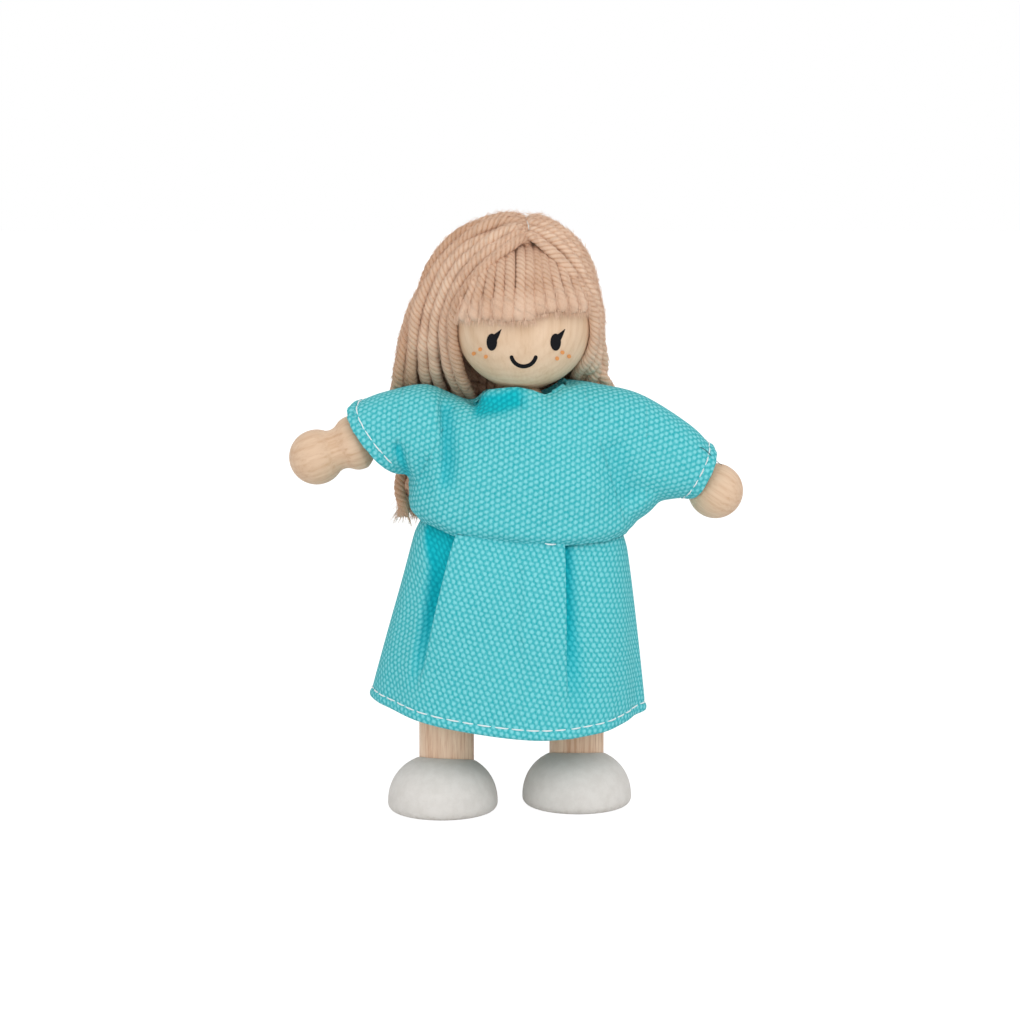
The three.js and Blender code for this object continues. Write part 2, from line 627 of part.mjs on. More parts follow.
const dressVolume = (grow, past) => bodyLoft(grow, past).add(sleeveLoft(grow, past));

const neckCentre = worldPoint(torsoGroup, 0.2, 0, torsoTop);
const neckHole = new THREE.CylinderGeometry(1, 1, cutReach, 28)
  .rotateX(Math.PI / 2)
  .scale(NECK_HOLE_HALF_WIDTH, NECK_HOLE_HALF_DEPTH, 1)
  .translate(neckCentre.x, neckCentre.y, neckCentre.z + cutReach / 2 - 7);
const backSlit = new THREE.BoxGeometry(BACK_SLIT, cutReach, cutReach);
backSlit.translate(0, cutReach / 2, neckCentre.z);

const dressOuter = dressVolume(0, 0);
const dressInner = dressVolume(-CLOTH, 4);
const dressTop = dressOuter.subtract(dressInner).subtract(solidOf(neckHole)).subtract(solidOf(backSlit));
piece(figure, "dress_top", geometryOf(mainBody(dressTop)), CANVAS);

// The tape lies inside the slit, between the cloth and the torso.
const tapeFace = CLOTH + SEAT_GAP;
const tapeBox = new THREE.BoxGeometry(CLOSURE_WIDTH, cutReach, CLOSURE_LENGTH);
tapeBox.translate(0, cutReach / 2, hipHeight + DRESS_WAIST_HEIGHT + 2 + CLOSURE_LENGTH / 2);
const tape = dressVolume(-tapeFace, 0)
  .subtract(dressVolume(-tapeFace - CLOSURE_THICKNESS, 4))
  .intersect(solidOf(tapeBox));
piece(figure, "dress_back_closure", geometryOf(mainBody(tape)), TAPE);

// Skirt: an open cone of cloth from the waist seam to the hem, with a raised front panel between two pleats

const waistSeam = hipHeight + DRESS_WAIST_HEIGHT - SEAT_GAP;

// The skirt's outline without its pleats. Fall is 0 at the waist and 1 at the hem.
function skirtOutline(angle, fall) {
  const [c, s] = [Math.cos(angle), Math.sin(angle)];
  const waist = vec(
    waistHalfWidth * signedPower(c, WAIST_SQUARENESS),
    waistHalfDepth * signedPower(s, WAIST_SQUARENESS),
    0,
  );
  const hem = vec((c < 0 ? HEM_TO_RIGHT : HEM_TO_LEFT) * c, (s < 0 ? HEM_TO_FRONT : HEM_TO_BACK) * s, 0);
  const waistHeight = waistSeam - waist.x * Math.tan(radians(WAIST_TILT));
  const hemRise = HEM_SIDE_RISE * Math.abs(c) ** 2.2 + HEM_BACK_RISE * Math.max(s, 0);
  const point = waist.lerp(hem, fall ** 0.85);
  point.z = THREE.MathUtils.lerp(waistHeight, waistSeam - SKIRT_LENGTH + hemRise, fall);
  return point;
}

// The angle at which the front of that outline passes x.
function frontAngle(x, fall) {
  let [low, high] = [Math.PI, 2 * Math.PI];
  for (let i = 0; i < 30; i++) {
    const middle = (low + high) / 2;
    if (skirtOutline(middle, fall).x < x) low = middle;
    else high = middle;
  }
  return low;
}

const evenly = (from, to, steps) =>
  Array.from({ length: steps + 1 }, (_, i) => from + ((to - from) * i) / steps);

// One ring of the skirt, moved in by inset. The panel stands out by the depth of the pleats, whose folds
// tuck under it, and the rest hangs in soft waves.
function skirtRing(fall, inset) {
  const left = THREE.MathUtils.lerp(PLEAT_RIGHT_TOP, PLEAT_RIGHT_HEM, fall) + inset;
  const right = THREE.MathUtils.lerp(PLEAT_LEFT_TOP, PLEAT_LEFT_HEM, fall) - inset;
  const rise = PLEAT_DEPTH * (0.5 + 0.5 * fall);
  const panel = evenly(frontAngle(left, fall), frontAngle(right, fall), 11);
  const start = frontAngle(right - PLEAT_TUCK, fall);
  const end = 2 * Math.PI + frontAngle(left + PLEAT_TUCK, fall);
  const moved = (angle, lift) => {
    const outwards = vec(
      Math.cos(angle) / waistHalfWidth,
      Math.sin(angle) / waistHalfDepth,
      0,
    ).normalize();
    return skirtOutline(angle, fall).addScaledVector(outwards, lift - inset);
  };
  const wave = (angle) => {
    const share = (angle - start) / (end - start);
    return HEM_WAVE * fall * Math.sin(Math.PI * share) ** 0.5 * Math.cos(9 * angle + 1);
  };
  return [
    ...panel.map((angle) => moved(angle, rise)),
    ...evenly(start, end, 41).map((angle) => moved(angle, wave(angle))),
  ];
}

function skirt() {
  const falls = evenly(0, 1, 5);
  const rings = [
    ...falls.toReversed().map((fall) => skirtRing(fall, 0)),
    ...falls.map((fall) => skirtRing(fall, CLOTH)),
  ];
  const count = rings[0].length;
  const triangles = [];
  rings.forEach((_, i) => {
    const next = (i + 1) % rings.length;
    for (let j = 0; j < count; j++) {
      const k = (j + 1) % count;
      const [a, b] = [i * count + j, i * count + k];
      const [c, d] = [next * count + k, next * count + j];
      triangles.push(a, b, c, a, c, d);
    }
  });
  return fromPoints(rings.flat(), triangles);
}
piece(figure, "dress_skirt", skirt(), CANVAS);

// Hair: panels of yarn between guide strands, ridged strand by strand

// Points between guides at equal shares of the way across and along.
function across(guides, share, along) {
  const points = guides.map((guide) => guide.getPoint(along));
  return new THREE.CatmullRomCurve3(points).getPoint(share);
}

// The outward direction of a surface, from two short steps on it
const squareTo = (pointAt) => (share, along) => {
  const step = 1e-3;
  const point = pointAt(share, along);
  const ahead = share < 1 - step ? step : -step;
  const downhill = along < 1 - step ? step : -step;
  const side = pointAt(share + ahead, along).sub(point).divideScalar(ahead);
  const down = pointAt(share, along + downhill).sub(point).divideScalar(downhill);
  return down.cross(side).normalize();
};

function yarnPanel(pointAt, strands, rows, grow, normalAt) {
  const columns = strands * 2;
  const inner = [];
  const outer = [];
  for (let i = 0; i <= rows; i++) {
    const along = i / rows;
    const low = [];
    const high = [];
    for (let j = 0; j <= columns; j++) {
      const share = j / columns;
      const point = pointAt(share, along);
      const normal = normalAt(share, along);
      const ridge = j % 2 ? 0 : -0.3 * YARN_D;
      high.push(point.clone().addScaledVector(normal, YARN_D / 2 + ridge + grow));
      low.push(point.clone().addScaledVector(normal, -YARN_D / 2 - grow));
    }
    outer.push(high);
    inner.push(low);
  }
  return solidOf(slab(inner, outer));
}

// Guide strands run from the parting down. They are given about the head's centre, in head radii.
const guide = (...points) =>
  new THREE.CatmullRomCurve3(points.map(([x, y, z]) => vec(x, y, z).multiplyScalar(HEAD_R)));
const dropEnd = -HAIR_DROP / HEAD_R;

const rightGuides = [
  guide([0.04, -0.42, 1.28], [-0.5, -0.6, 1.02], [-0.86, -0.53, 0.58], [-1.03, -0.33, -0.19],
    [-0.95, 0.05, -0.8], [-0.75, 0.72, -1.3], [-0.76, 1.06, -2], [-0.8, 1.06, dropEnd + 0.1]),
  guide([0.02, -0.06, 1.47], [-0.62, -0.06, 1.42], [-1.12, 0, 1.08], [-1.49, 0.06, 0.42],
    [-1.71, 0.16, -0.3], [-1.8, 0.38, -0.95], [-1.76, 0.86, -1.75], [-1.78, 0.82, dropEnd]),
  guide([0, 0.47, 1.35], [-0.5, 0.78, 1.12], [-0.95, 0.9, 0.55], [-1.15, 0.95, -0.25],
    [-1.15, 1.02, -1], [-1.12, 1.1, -1.7], [-1.1, 1.1, -2.3], [-1.08, 1.08, dropEnd]),
  guide([0.02, 0.85, 0.93], [0.03, 1.02, 0.65], [0.03, 1.14, 0.1], [0.03, 1.18, -0.6],
    [0.03, 1.17, -1.2], [0.03, 1.13, -1.9], [0.02, 1.12, -2.4], [0.02, 1.1, dropEnd]),
];
const leftGuides = [
  guide([0.04, -0.42, 1.28], [0.34, -0.6, 1.12], [0.78, -0.57, 0.65], [1.04, -0.36, 0],
    [1.02, 0.02, -0.62], [0.94, 0.5, -0.95], [0.86, 1, -1.45], [0.8, 1.08, -2]),
  guide([0.04, -0.06, 1.47], [0.5, -0.05, 1.4], [0.9, 0, 0.88], [1.11, 0.04, 0.14],
    [1.13, 0.14, -0.45], [1.12, 0.5, -0.93], [1.06, 1, -1.5], [1.02, 1.06, -2.3]),
  guide([0.06, 0.47, 1.35], [0.5, 0.76, 1.1], [0.84, 0.86, 0.55], [0.98, 0.95, -0.25],
    [0.97, 1.02, -1], [0.95, 1.1, -1.7], [0.94, 1.1, -2.3], [0.92, 1.08, dropEnd]),
  guide([0.02, 0.85, 0.93], [0.01, 1.02, 0.65], [0.01, 1.14, 0.1], [0.01, 1.18, -0.6],
    [0.01, 1.17, -1.2], [0.01, 1.13, -1.9], [0.02, 1.12, -2.4], [0.02, 1.1, dropEnd]),
];

const headCentre = worldPoint(headGroup, 0, 0, 0);
const aboutHead = (solid) => solid.translate([headCentre.x, headCentre.y, headCentre.z]);

// The fringe fans out over the forehead and is cut shorter on the figure's left.
const FRINGE_SHELL = HEAD_R + 2 * SEAT_GAP + YARN_D / 2;
function fringePoint(share, along) {
  const u = 2 * share - 1;
  const spread = along * (1.7 - 0.7 * along);
  const x = THREE.MathUtils.lerp(5.5 * u, 13.6 * u, spread);
  const cut = u < 0.15 ? 2.8 : 4.7;
  const z = THREE.MathUtils.lerp(15.4 - 3 * u * u, cut, along);
  const y = -Math.sqrt(Math.max(FRINGE_SHELL ** 2 - x * x - z * z, 0.2));
  return vec(x, y, z);
}

const fromHead = (share, along) => fringePoint(share, along).normalize();
const fringe = (grow) => yarnPanel(fringePoint, FRINGE_STRANDS, 6, grow, fromHead);
const side = (guides) => (share, along) => across(guides, share, along);
const keepOut = aboutHead(solidOf(sphereAt(HEAD_R + 2 * SEAT_GAP, vec(0, 0, 0), 28, 16)))
  .add(aboutHead(fringe(SEAT_GAP)))
  .add(dressVolume(SEAT_GAP, 0));

piece(figure, "hair_fringe", geometryOf(aboutHead(fringe(0))), YARN);

const partingCut = (sign) => {
  const half = new THREE.BoxGeometry(cutReach, cutReach, 2 * cutReach);
  return solidOf(half.translate(headCentre.x + 0.3 + (sign * (cutReach + SEAT_GAP)) / 2, 0, headCentre.z));
};
const sidePanel = (guides) =>
  aboutHead(yarnPanel(side(guides), SIDE_STRANDS, 10, 0, squareTo(side(guides))));
const rightHair = sidePanel(rightGuides);
const leftHair = sidePanel(leftGuides.toReversed());
const trimmed = (hair, sign) => geometryOf(mainBody(hair.subtract(keepOut).intersect(partingCut(sign))));
piece(figure, "hair_right_side", trimmed(rightHair, -1), YARN);
piece(figure, "hair_left_side", trimmed(leftHair, 1), YARN);

// The origin lies under the middle of the figure's box, on the floor.
const box = new THREE.Box3().setFromObject(figure, true);
const middle = box.getCenter(vec(0, 0, 0));
figure.position.set(-middle.x, -middle.y, -box.min.z);

export default figure;
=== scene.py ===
# %% [markdown]
# # A wooden dollhouse figure
# The figure is 13 cm tall: turned wooden balls and pegs strung on elastic, a wig of twisted yarn and a
# canvas dress. The measured parts come from a imported model, which is loaded first and never moved. Each
# piece below takes its place from that model, in metres. The wooden pieces, the cords, the printed face, the
# fringe and two stitches ride on the part of the figure that carries them.

# %% Load the measured model
import json
import random
from contextlib import contextmanager
from math import asin, cos, exp, pi, radians, sin, sqrt, tan

import bmesh
import bpy
import numpy as np
from mathutils import Matrix, Vector
from mathutils.bvhtree import BVHTree
from mathutils.kdtree import KDTree


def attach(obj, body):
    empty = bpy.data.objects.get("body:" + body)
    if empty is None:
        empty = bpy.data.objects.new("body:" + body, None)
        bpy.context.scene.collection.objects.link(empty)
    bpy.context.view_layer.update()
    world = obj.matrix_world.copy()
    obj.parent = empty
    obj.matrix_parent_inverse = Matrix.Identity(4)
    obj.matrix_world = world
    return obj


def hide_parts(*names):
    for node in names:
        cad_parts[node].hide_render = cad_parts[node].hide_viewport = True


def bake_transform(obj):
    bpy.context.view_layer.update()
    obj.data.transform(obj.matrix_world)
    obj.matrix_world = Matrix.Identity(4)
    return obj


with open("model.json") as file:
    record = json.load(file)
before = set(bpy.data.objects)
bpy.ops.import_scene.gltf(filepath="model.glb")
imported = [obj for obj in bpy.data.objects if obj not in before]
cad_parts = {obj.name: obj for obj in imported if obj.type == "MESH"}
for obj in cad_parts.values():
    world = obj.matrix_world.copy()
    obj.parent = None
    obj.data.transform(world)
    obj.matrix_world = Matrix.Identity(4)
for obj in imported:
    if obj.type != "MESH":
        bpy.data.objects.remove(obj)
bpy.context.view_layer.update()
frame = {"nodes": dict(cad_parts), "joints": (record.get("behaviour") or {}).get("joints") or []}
bpy.ops.object.select_all(action="DESELECT")
MM = 0.001
joint = {j["name"]: Vector(j["pos_m"]) for j in frame["joints"]}
torso_middle = (joint["right_hip_swing"] + joint["left_hip_swing"]) / 2
neck = joint["head_nod"]
HEAD_R = 15 * MM
head_centre = neck + Matrix.Rotation(radians(1.6), 3, "Y") @ Vector((0, 0, 18 * MM))

# %% [markdown]
# ## Camera and light
# The figure is seen from the front and a little above, through a long lens, so that the head and the feet
# keep their proportions. A white sweep and two large soft lamps are what a small toy is usually lit with.
# The background is white for the camera alone: as a lamp it would wash out the pale wood.

# %% Camera
lens_height = radians(8)
aim = Vector((-1.37, 1.92, 65.1)) * MM
bpy.ops.object.camera_add(location=aim + Vector((0, -cos(lens_height), sin(lens_height))) * 0.617)
camera = bpy.context.object
camera.name = "camera"
camera.data.lens = 100
camera.data.sensor_width = 36
camera.data.clip_start = 0.01
camera.rotation_euler = (aim - camera.location).to_track_quat("-Z", "Y").to_euler()
bpy.context.scene.camera = camera
bpy.context.scene.view_settings.view_transform = "Standard"
FOCAL = 1020 * camera.data.lens / camera.data.sensor_width
print("camera at", [round(v, 3) for v in camera.location])

# %% [markdown]
# ## Sums for finishes
# A finish is a small program of nodes. A socket is wrapped so that `1 - mask` adds the Math node that does
# it, and every other node comes from one method that sets the node up and then links its sockets.

# %% Sockets that can be added and multiplied
def linear(red, green, blue):
    """A colour as it looks on screen, 0 to 255, as the shader wants it."""
    channels = [v / 255 for v in (red, green, blue)]
    return tuple(v / 12.92 if v <= 0.04045 else ((v + 0.055) / 1.055) ** 2.4 for v in channels) + (1,)


class Wire:
    def __init__(self, socket):
        self.socket = socket

    def sum_with(self, operation, *others):
        tree = self.socket.id_data
        node = tree.nodes.new("ShaderNodeMath")
        node.operation = operation
        for slot, value in zip(node.inputs, others):
            if isinstance(value, Wire):
                tree.links.new(value.socket, slot)
            else:
                slot.default_value = value
        return Wire(node.outputs[0])

    def __add__(self, other): return self.sum_with("ADD", self, other)
    def __radd__(self, other): return self.sum_with("ADD", other, self)
    def __sub__(self, other): return self.sum_with("SUBTRACT", self, other)
    def __rsub__(self, other): return self.sum_with("SUBTRACT", other, self)
    def __mul__(self, other): return self.sum_with("MULTIPLY", self, other)
    def __rmul__(self, other): return self.sum_with("MULTIPLY", other, self)
    def __pow__(self, other): return self.sum_with("POWER", self, other)
    def cosine(self): return self.sum_with("COSINE", self)
    def low(self, other): return self.sum_with("MINIMUM", self, other)
    def high(self, other): return self.sum_with("MAXIMUM", self, other)


class Finish:
    """A material whose nodes are written as sums."""

    def __init__(self, name, **constants):
        self.material = bpy.data.materials.new(name)
        self.material.use_nodes = True
        self.tree = self.material.node_tree
        self.shader = self.tree.nodes["Principled BSDF"]
        for socket, value in constants.items():
            self.shader.inputs[socket.replace("_", " ")].default_value = value

    def node(self, kind, settings=None, inputs=None, output=0):
        node = self.tree.nodes.new(kind)
        for key, value in (settings or {}).items():
            setattr(node, key, value)
        for key, value in (inputs or {}).items():
            if isinstance(value, Wire):
                self.tree.links.new(value.socket, node.inputs[key])
            else:
                node.inputs[key].default_value = value
        return Wire(node.outputs[output])

    def place(self): return self.node("ShaderNodeTexCoord", output="Object")
    def vector(self, operation, a, b, output=0):
        return self.node("ShaderNodeVectorMath", {"operation": operation}, {0: a, 1: b}, output)
    def scaled(self, vector, factors): return self.vector("MULTIPLY", vector, factors)
    def mix(self, share, a, b):
        return self.node("ShaderNodeMix", {"data_type": "RGBA"}, {0: share, 6: a, 7: b}, 2)
    def noise(self, vector, scale, detail, rough=0.5):
        inputs = {"Vector": vector, "Scale": scale, "Detail": detail, "Roughness": rough}
        return self.node("ShaderNodeTexNoise", None, inputs)
    def step(self, value, start, end):
        inputs = {"Value": value, "From Min": start, "From Max": end}
        return self.node("ShaderNodeMapRange", {"interpolation_type": "SMOOTHSTEP"}, inputs)
    def bump(self, height, distance, strength=1):
        inputs = {"Height": height, "Distance": distance, "Strength": strength}
        return self.node("ShaderNodeBump", None, inputs)
    def to(self, socket, wire): self.tree.links.new(wire.socket, self.shader.inputs[socket])


def flecked(name, scale, pale, deep, **constants):
    """A plain finish with a fine mottle of two colours."""
    finish = Finish(name, **constants)
    finish.to("Base Color", finish.mix(finish.noise(finish.place(), scale, 2), linear(*pale), linear(*deep)))
    return finish.material


print("finishes are written as sums of sockets")

# %% Sweep, world and lamps
def seen_by_camera(tree):
    """1 for what the camera sees, straight or in a gloss, and 0 for light on its way to a surface."""
    path = tree.nodes.new("ShaderNodeLightPath")
    seen = Wire(path.outputs["Is Camera Ray"]).high(Wire(path.outputs["Is Glossy Ray"]))
    return seen.high(Wire(path.outputs["Is Transmission Ray"]))


def sweep_finish():
    """White to the camera, with a faint shadow, and plain white card to everything else."""
    card = Finish("white_sweep", Roughness=0.9)
    tree = card.tree
    seen = seen_by_camera(tree)
    diffuse = card.node("ShaderNodeBsdfDiffuse", None, {"Color": (0.3, 0.3, 0.3, 1)})
    glow = card.node("ShaderNodeEmission", None, {"Color": (1, 1, 1, 1), "Strength": 0.92})
    both = card.node("ShaderNodeAddShader", None, {0: diffuse, 1: glow})
    plain = card.node("ShaderNodeBsdfDiffuse", None, {"Color": (0.8, 0.8, 0.8, 1)})
    result = card.node("ShaderNodeMixShader", None, {0: seen, 1: plain, 2: both})
    tree.links.new(result.socket, tree.nodes["Material Output"].inputs["Surface"])
    return card.material


bpy.ops.mesh.primitive_plane_add(size=6)
sweep = bpy.context.object
sweep.name = "sweep"
sweep.data.materials.append(sweep_finish())

world = bpy.data.worlds.new("studio")
bpy.context.scene.world = world
world.use_nodes = True
sky = world.node_tree
strength = 0.73 + 0.27 * seen_by_camera(sky)
sky.nodes["Background"].inputs["Color"].default_value = (1, 1, 1, 1)
sky.links.new(strength.socket, sky.nodes["Background"].inputs["Strength"])


def lamp(name, place, size, watts):
    """A square soft lamp that looks at the figure's chest."""
    bpy.ops.object.light_add(type="AREA", location=place)
    light = bpy.context.object
    light.name = name
    light.data.size = size
    light.data.energy = watts
    light.rotation_euler = (Vector((0, 0, 0.07)) - light.location).to_track_quat("-Z", "Y").to_euler()
    return light


key = lamp("key", (0.35, -0.75, 0.7), 0.5, 1.9)
fill = lamp("fill", (-0.12, -0.95, 0.06), 0.7, 3.0)
print("lamps", key.data.energy, fill.data.energy)

# %% [markdown]
# ## Wood
# The balls and pegs are a pale, close-grained hardwood, sanded and left without varnish. Grain is long
# along the peg and short across it, so noise is stretched along the axis on which the piece was turned.
# Three layers are enough: broad bands of tone, narrow streaks, and short pinkish pores.

# %% Wood finish
def wood(name, axis, pale, deep, streaks):
    grain = Finish(name, Roughness=0.55, Specular_IOR_Level=0.3)
    axis = Vector(axis).normalized()
    place = grain.place()
    along = grain.vector("DOT_PRODUCT", place, axis, "Value")
    pull = grain.node("ShaderNodeCombineXYZ", None, {i: along * (0.95 * axis[i]) for i in range(3)})
    grown = grain.vector("SUBTRACT", place, pull)
    sway = grain.noise(grown, 150, 1)
    rings = ((grain.vector("LENGTH", grain.vector("SUBTRACT", grown, (0.009, 0.021, 0.004)), (0, 0, 0), "Value")
              * 4200 + sway * 9).cosine() * 0.5 + 0.5) ** 2.0
    bands = grain.step(grain.noise(grown, 260, 3, 0.6), 0.3, 0.75)
    fine = grain.step(grain.noise(grown, 1500, 4, 0.7), 0.42, 0.72)
    pores = grain.step(grain.noise(grown, 4200, 2, 0.5), 0.62, 0.74)
    depth = (bands * 0.45 + fine * streaks + rings * 0.22 + pores * 0.35 * streaks).low(1.0)
    colour = grain.mix(depth, linear(*pale), linear(*deep))
    grain.to("Base Color", colour)
    grain.to("Roughness", 0.5 + 0.14 * fine)
    grain.to("Normal", grain.bump(1 - (pores * 0.7 + fine * 0.3), 0.00003, 0.5))
    return grain.material


head_wood = wood("wood_head", (0, 0, 1), (238, 208, 178), (218, 182, 146), 0.35)
# The legs are the same wood as the other pegs but painted paler: painted light that makes up for the shade under
# the skirt. Their grain streaks are stronger.
leg_wood_painted_light = wood("wood_leg_painted_light", (0, 0, 1), (255, 226, 198), (214, 166, 134), 0.7)
inner_wood = wood("wood_inner", (0, 0.2, 1), (232, 201, 170), (205, 168, 134), 0.5)
print("wood finishes", len(bpy.data.materials))

# %% [markdown]
# Every wooden piece except the torso was turned on a lathe. Its outline is drawn once, point by point, and
# spun about its axis, which is what the lathe does.

# %% Turning
BORE_R, FLARE_R, RUN_IN, SEAT_GAP = 1.6, 2.3, 1.6, 0.3


def only(obj):
    bpy.ops.object.select_all(action="DESELECT")
    obj.select_set(True)
    bpy.context.view_layer.objects.active = obj
    return obj


def face_outwards(obj):
    only(obj)
    bpy.ops.object.mode_set(mode="EDIT")
    bpy.ops.mesh.select_all(action="SELECT")
    bpy.ops.mesh.normals_make_consistent(inside=False)
    bpy.ops.object.mode_set(mode="OBJECT")


def modified(obj, kind, **settings):
    """Adds a modifier, sets it up and applies it."""
    only(obj)
    modifier = obj.modifiers.new(kind.lower(), kind)
    for key, value in settings.items():
        setattr(modifier, key, value)
    bpy.ops.object.modifier_apply(modifier=modifier.name)


def coat(obj, material):
    obj.data.materials.clear()
    obj.data.materials.append(material)


def turned(name, outline, steps=56):
    """Spins (radius, height) points in millimetres. An outline that ends where it starts has a bore."""
    bpy.ops.object.select_all(action="DESELECT")
    bpy.ops.mesh.primitive_plane_add(size=MM)
    obj = bpy.context.object
    obj.name = name
    bpy.ops.object.mode_set(mode="EDIT")
    bpy.ops.mesh.merge(type="CENTER")
    bpy.ops.transform.translate(value=(outline[0][0] * MM, 0, outline[0][1] * MM))
    for (r0, h0), (r1, h1) in zip(outline, outline[1:]):
        move = {"value": ((r1 - r0) * MM, 0, (h1 - h0) * MM)}
        bpy.ops.mesh.extrude_vertices_move(TRANSFORM_OT_translate=move)
    bpy.ops.mesh.select_all(action="SELECT")
    bpy.ops.mesh.spin(steps=steps, angle=2 * pi, center=(0, 0, 0), axis=(0, 0, 1))
    bpy.ops.mesh.select_all(action="SELECT")
    bpy.ops.mesh.remove_doubles(threshold=0.002 * MM)
    bpy.ops.mesh.normals_make_consistent(inside=False)
    bpy.ops.object.mode_set(mode="OBJECT")
    bpy.ops.object.shade_smooth_by_angle(angle=radians(40))
    return obj


def finished(obj, material, slot, body, *nodes, at=None):
    """Puts the place into the mesh, gives the piece its finish and lets it ride."""
    only(obj)
    if at is not None:
        obj.matrix_world = at
    bpy.ops.object.transform_apply(location=True, rotation=True, scale=True)
    coat(obj, material)
    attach(obj, body)
    if nodes:
        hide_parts(*nodes)
    return obj


def twin(obj, name):
    only(obj)
    bpy.ops.object.duplicate()
    copy = bpy.context.object
    copy.name = name
    return copy


def down(start, way):
    """The frame at a joint of a limb that hangs along a direction."""
    turn = Vector((0, 0, -1)).rotation_difference(Vector(way)).to_matrix().to_4x4()
    return Matrix.Translation(start) @ turn


def curve_points(a, b, c, steps):
    """A quadratic curve from a to c that leaves towards b."""
    shares = [i / steps for i in range(steps + 1)]
    return [tuple((1 - t) ** 2 * p + 2 * t * (1 - t) * q + t * t * r for p, q, r in zip(a, b, c)) for t in shares]


def cup(bead_r):
    """The end of a limb: bore, flare, seat for the bead, rim and shoulder, from the bead's centre."""
    seat = bead_r + SEAT_GAP
    first, mouth = asin(FLARE_R / seat), radians(41)
    rim = (seat * sin(mouth) + 0.5, seat * cos(mouth))
    angles = [first + (mouth - first) * i / 6 for i in range(7)]
    seat_points = [(seat * sin(a), seat * cos(a)) for a in angles]
    start = (BORE_R, sqrt(seat**2 - FLARE_R**2) + RUN_IN)
    return [start] + seat_points + curve_points(rim, (6, rim[1] + 2.3), (6, rim[1] + 3.2), 8)


def hanging(points): return [(r, -h) for r, h in points]


print("a cup has", len(cup(4)), "points")

# %% Beads
def bead(name, radius):
    """A ball with a bore that flares at both mouths."""
    first = asin(FLARE_R / radius)
    angles = [first + (pi - 2 * first) * i / 20 for i in range(21)]
    outline = [(radius * sin(a), -radius * cos(a)) for a in angles]
    bore_end = sqrt(radius**2 - FLARE_R**2) - RUN_IN
    return turned(name, outline + [(BORE_R, bore_end), (BORE_R, -bore_end), outline[0]], 40)


def joints_of(side):
    """The centres of a side's shoulder, elbow, hip and knee."""
    return [joint[side + "_" + name] for name in ("shoulder_raise", "elbow", "hip_swing", "knee")]


small_bead, large_bead = bead("right_shoulder_ball", 4), bead("neck_ball", 5)
way = {}
for side, out, slope in (("right", -1, 20.5), ("left", 1, 33.9)):
    shoulder, elbow, hip, knee = joints_of(side)
    way[side + "_upper"] = (elbow - shoulder).normalized()
    way[side + "_thigh"] = (knee - hip).normalized()
    way[side + "_fore"] = Vector((out * cos(radians(slope)), 0, -sin(radians(slope)))).normalized()
beads = [(twin(large_bead, "neck_ball_piece"), "neck", "neck_bead", neck, (0, 0, -1))]
for side, out in (("right", -1), ("left", 1)):
    upper, fore, thigh = way[side + "_upper"], way[side + "_fore"], way[side + "_thigh"]
    shoulder, elbow, hip, knee = joints_of(side)
    down_leg = thigh + Vector((0, 0, -1))
    beads += [
        (twin(small_bead, side + "_shoulder_ball_piece"), side + "_shoulder", side + "_shoulder_bead",
         shoulder, Vector((out, 0, 0)) + upper),
        (twin(small_bead, side + "_elbow_ball"), side + "_upper_arm", side + "_elbow_bead", elbow, upper + fore),
        (twin(large_bead, side + "_hip_ball"), side + "_hip", side + "_hip_bead", hip, down_leg),
        (twin(large_bead, side + "_knee_ball"), side + "_thigh", side + "_knee_bead", knee, down_leg),
    ]
for obj, body, node, start, direction in beads:
    finished(obj, inner_wood, "wood", body, node, at=down(start, direction))
for spare in (small_bead, large_bead):
    bpy.data.objects.remove(spare)
print("beads", len(beads))

# %% Limbs
def strung_limb(name, length, bead_r):
    """A peg with a cup at each end and a bore right through."""
    upper = cup(bead_r)
    lower = [(r, length - h) for r, h in reversed(upper)]
    return turned(name, hanging(upper + lower + upper[:1]))


FOREARM = 15.9
HAND_R, WRIST_R = 6, 4.4
wrist = FOREARM - sqrt(HAND_R**2 - WRIST_R**2)


def forearm(name):
    """Cup, cuff, drawn-in wrist and ball hand in one piece."""
    join_r = 4.75
    join = FOREARM - sqrt(HAND_R**2 - join_r**2)
    cuff = curve_points((6, 7.0), (6, 8.3), (5.2, 9.35), 6)
    cuff += curve_points((5.2, 9.35), (4.12, 10.77), (join_r, join), 9)[1:]
    first = pi - asin(join_r / HAND_R)
    angles = [first * (1 - i / 26) for i in range(27)]
    ball = [(HAND_R * sin(a), FOREARM + HAND_R * cos(a)) for a in angles]
    ball[-1] = (0, FOREARM + HAND_R)
    bore = [(0, wrist + 2.5), (BORE_R, wrist + 2.5)]
    return turned(name, hanging(bore + cup(4) + cuff + ball))


def shin(name):
    end = 26.3 - 4 - 0.3
    peg = [(6, end - 0.6), (5.4, end), (0, end)]
    return turned(name, hanging([(0, 12), (BORE_R, 12)] + cup(5) + peg))


for side in ("right", "left"):
    shoulder, elbow, hip, knee = joints_of(side)
    upper, fore, thigh = [down(start, way[side + "_" + limb])
                          for start, limb in ((shoulder, "upper"), (elbow, "fore"), (hip, "thigh"))]
    arm_wood = wood("wood_arm_" + side, way[side + "_fore"], (235, 205, 176), (212, 174, 140), 0.45)
    arm, leg = strung_limb(side + "_upper_arm_peg", 14, 4), strung_limb(side + "_thigh_peg", 22, 5)
    finished(arm, inner_wood, "wood", side + "_upper_arm", side + "_upper_arm", at=upper)
    finished(leg, leg_wood_painted_light, "wood", side + "_thigh", side + "_thigh", at=thigh)
    finished(forearm(side + "_forearm_peg"), arm_wood, "wood", side + "_forearm", side + "_forearm_hand", at=fore)
    upright = Matrix.Translation(knee)
    finished(shin(side + "_shin_peg"), leg_wood_painted_light, "wood", side + "_shin", side + "_shin", at=upright)
coat(frame["nodes"]["torso_block"], inner_wood)
print("wrist lies", round(wrist, 2), "mm below the elbow")

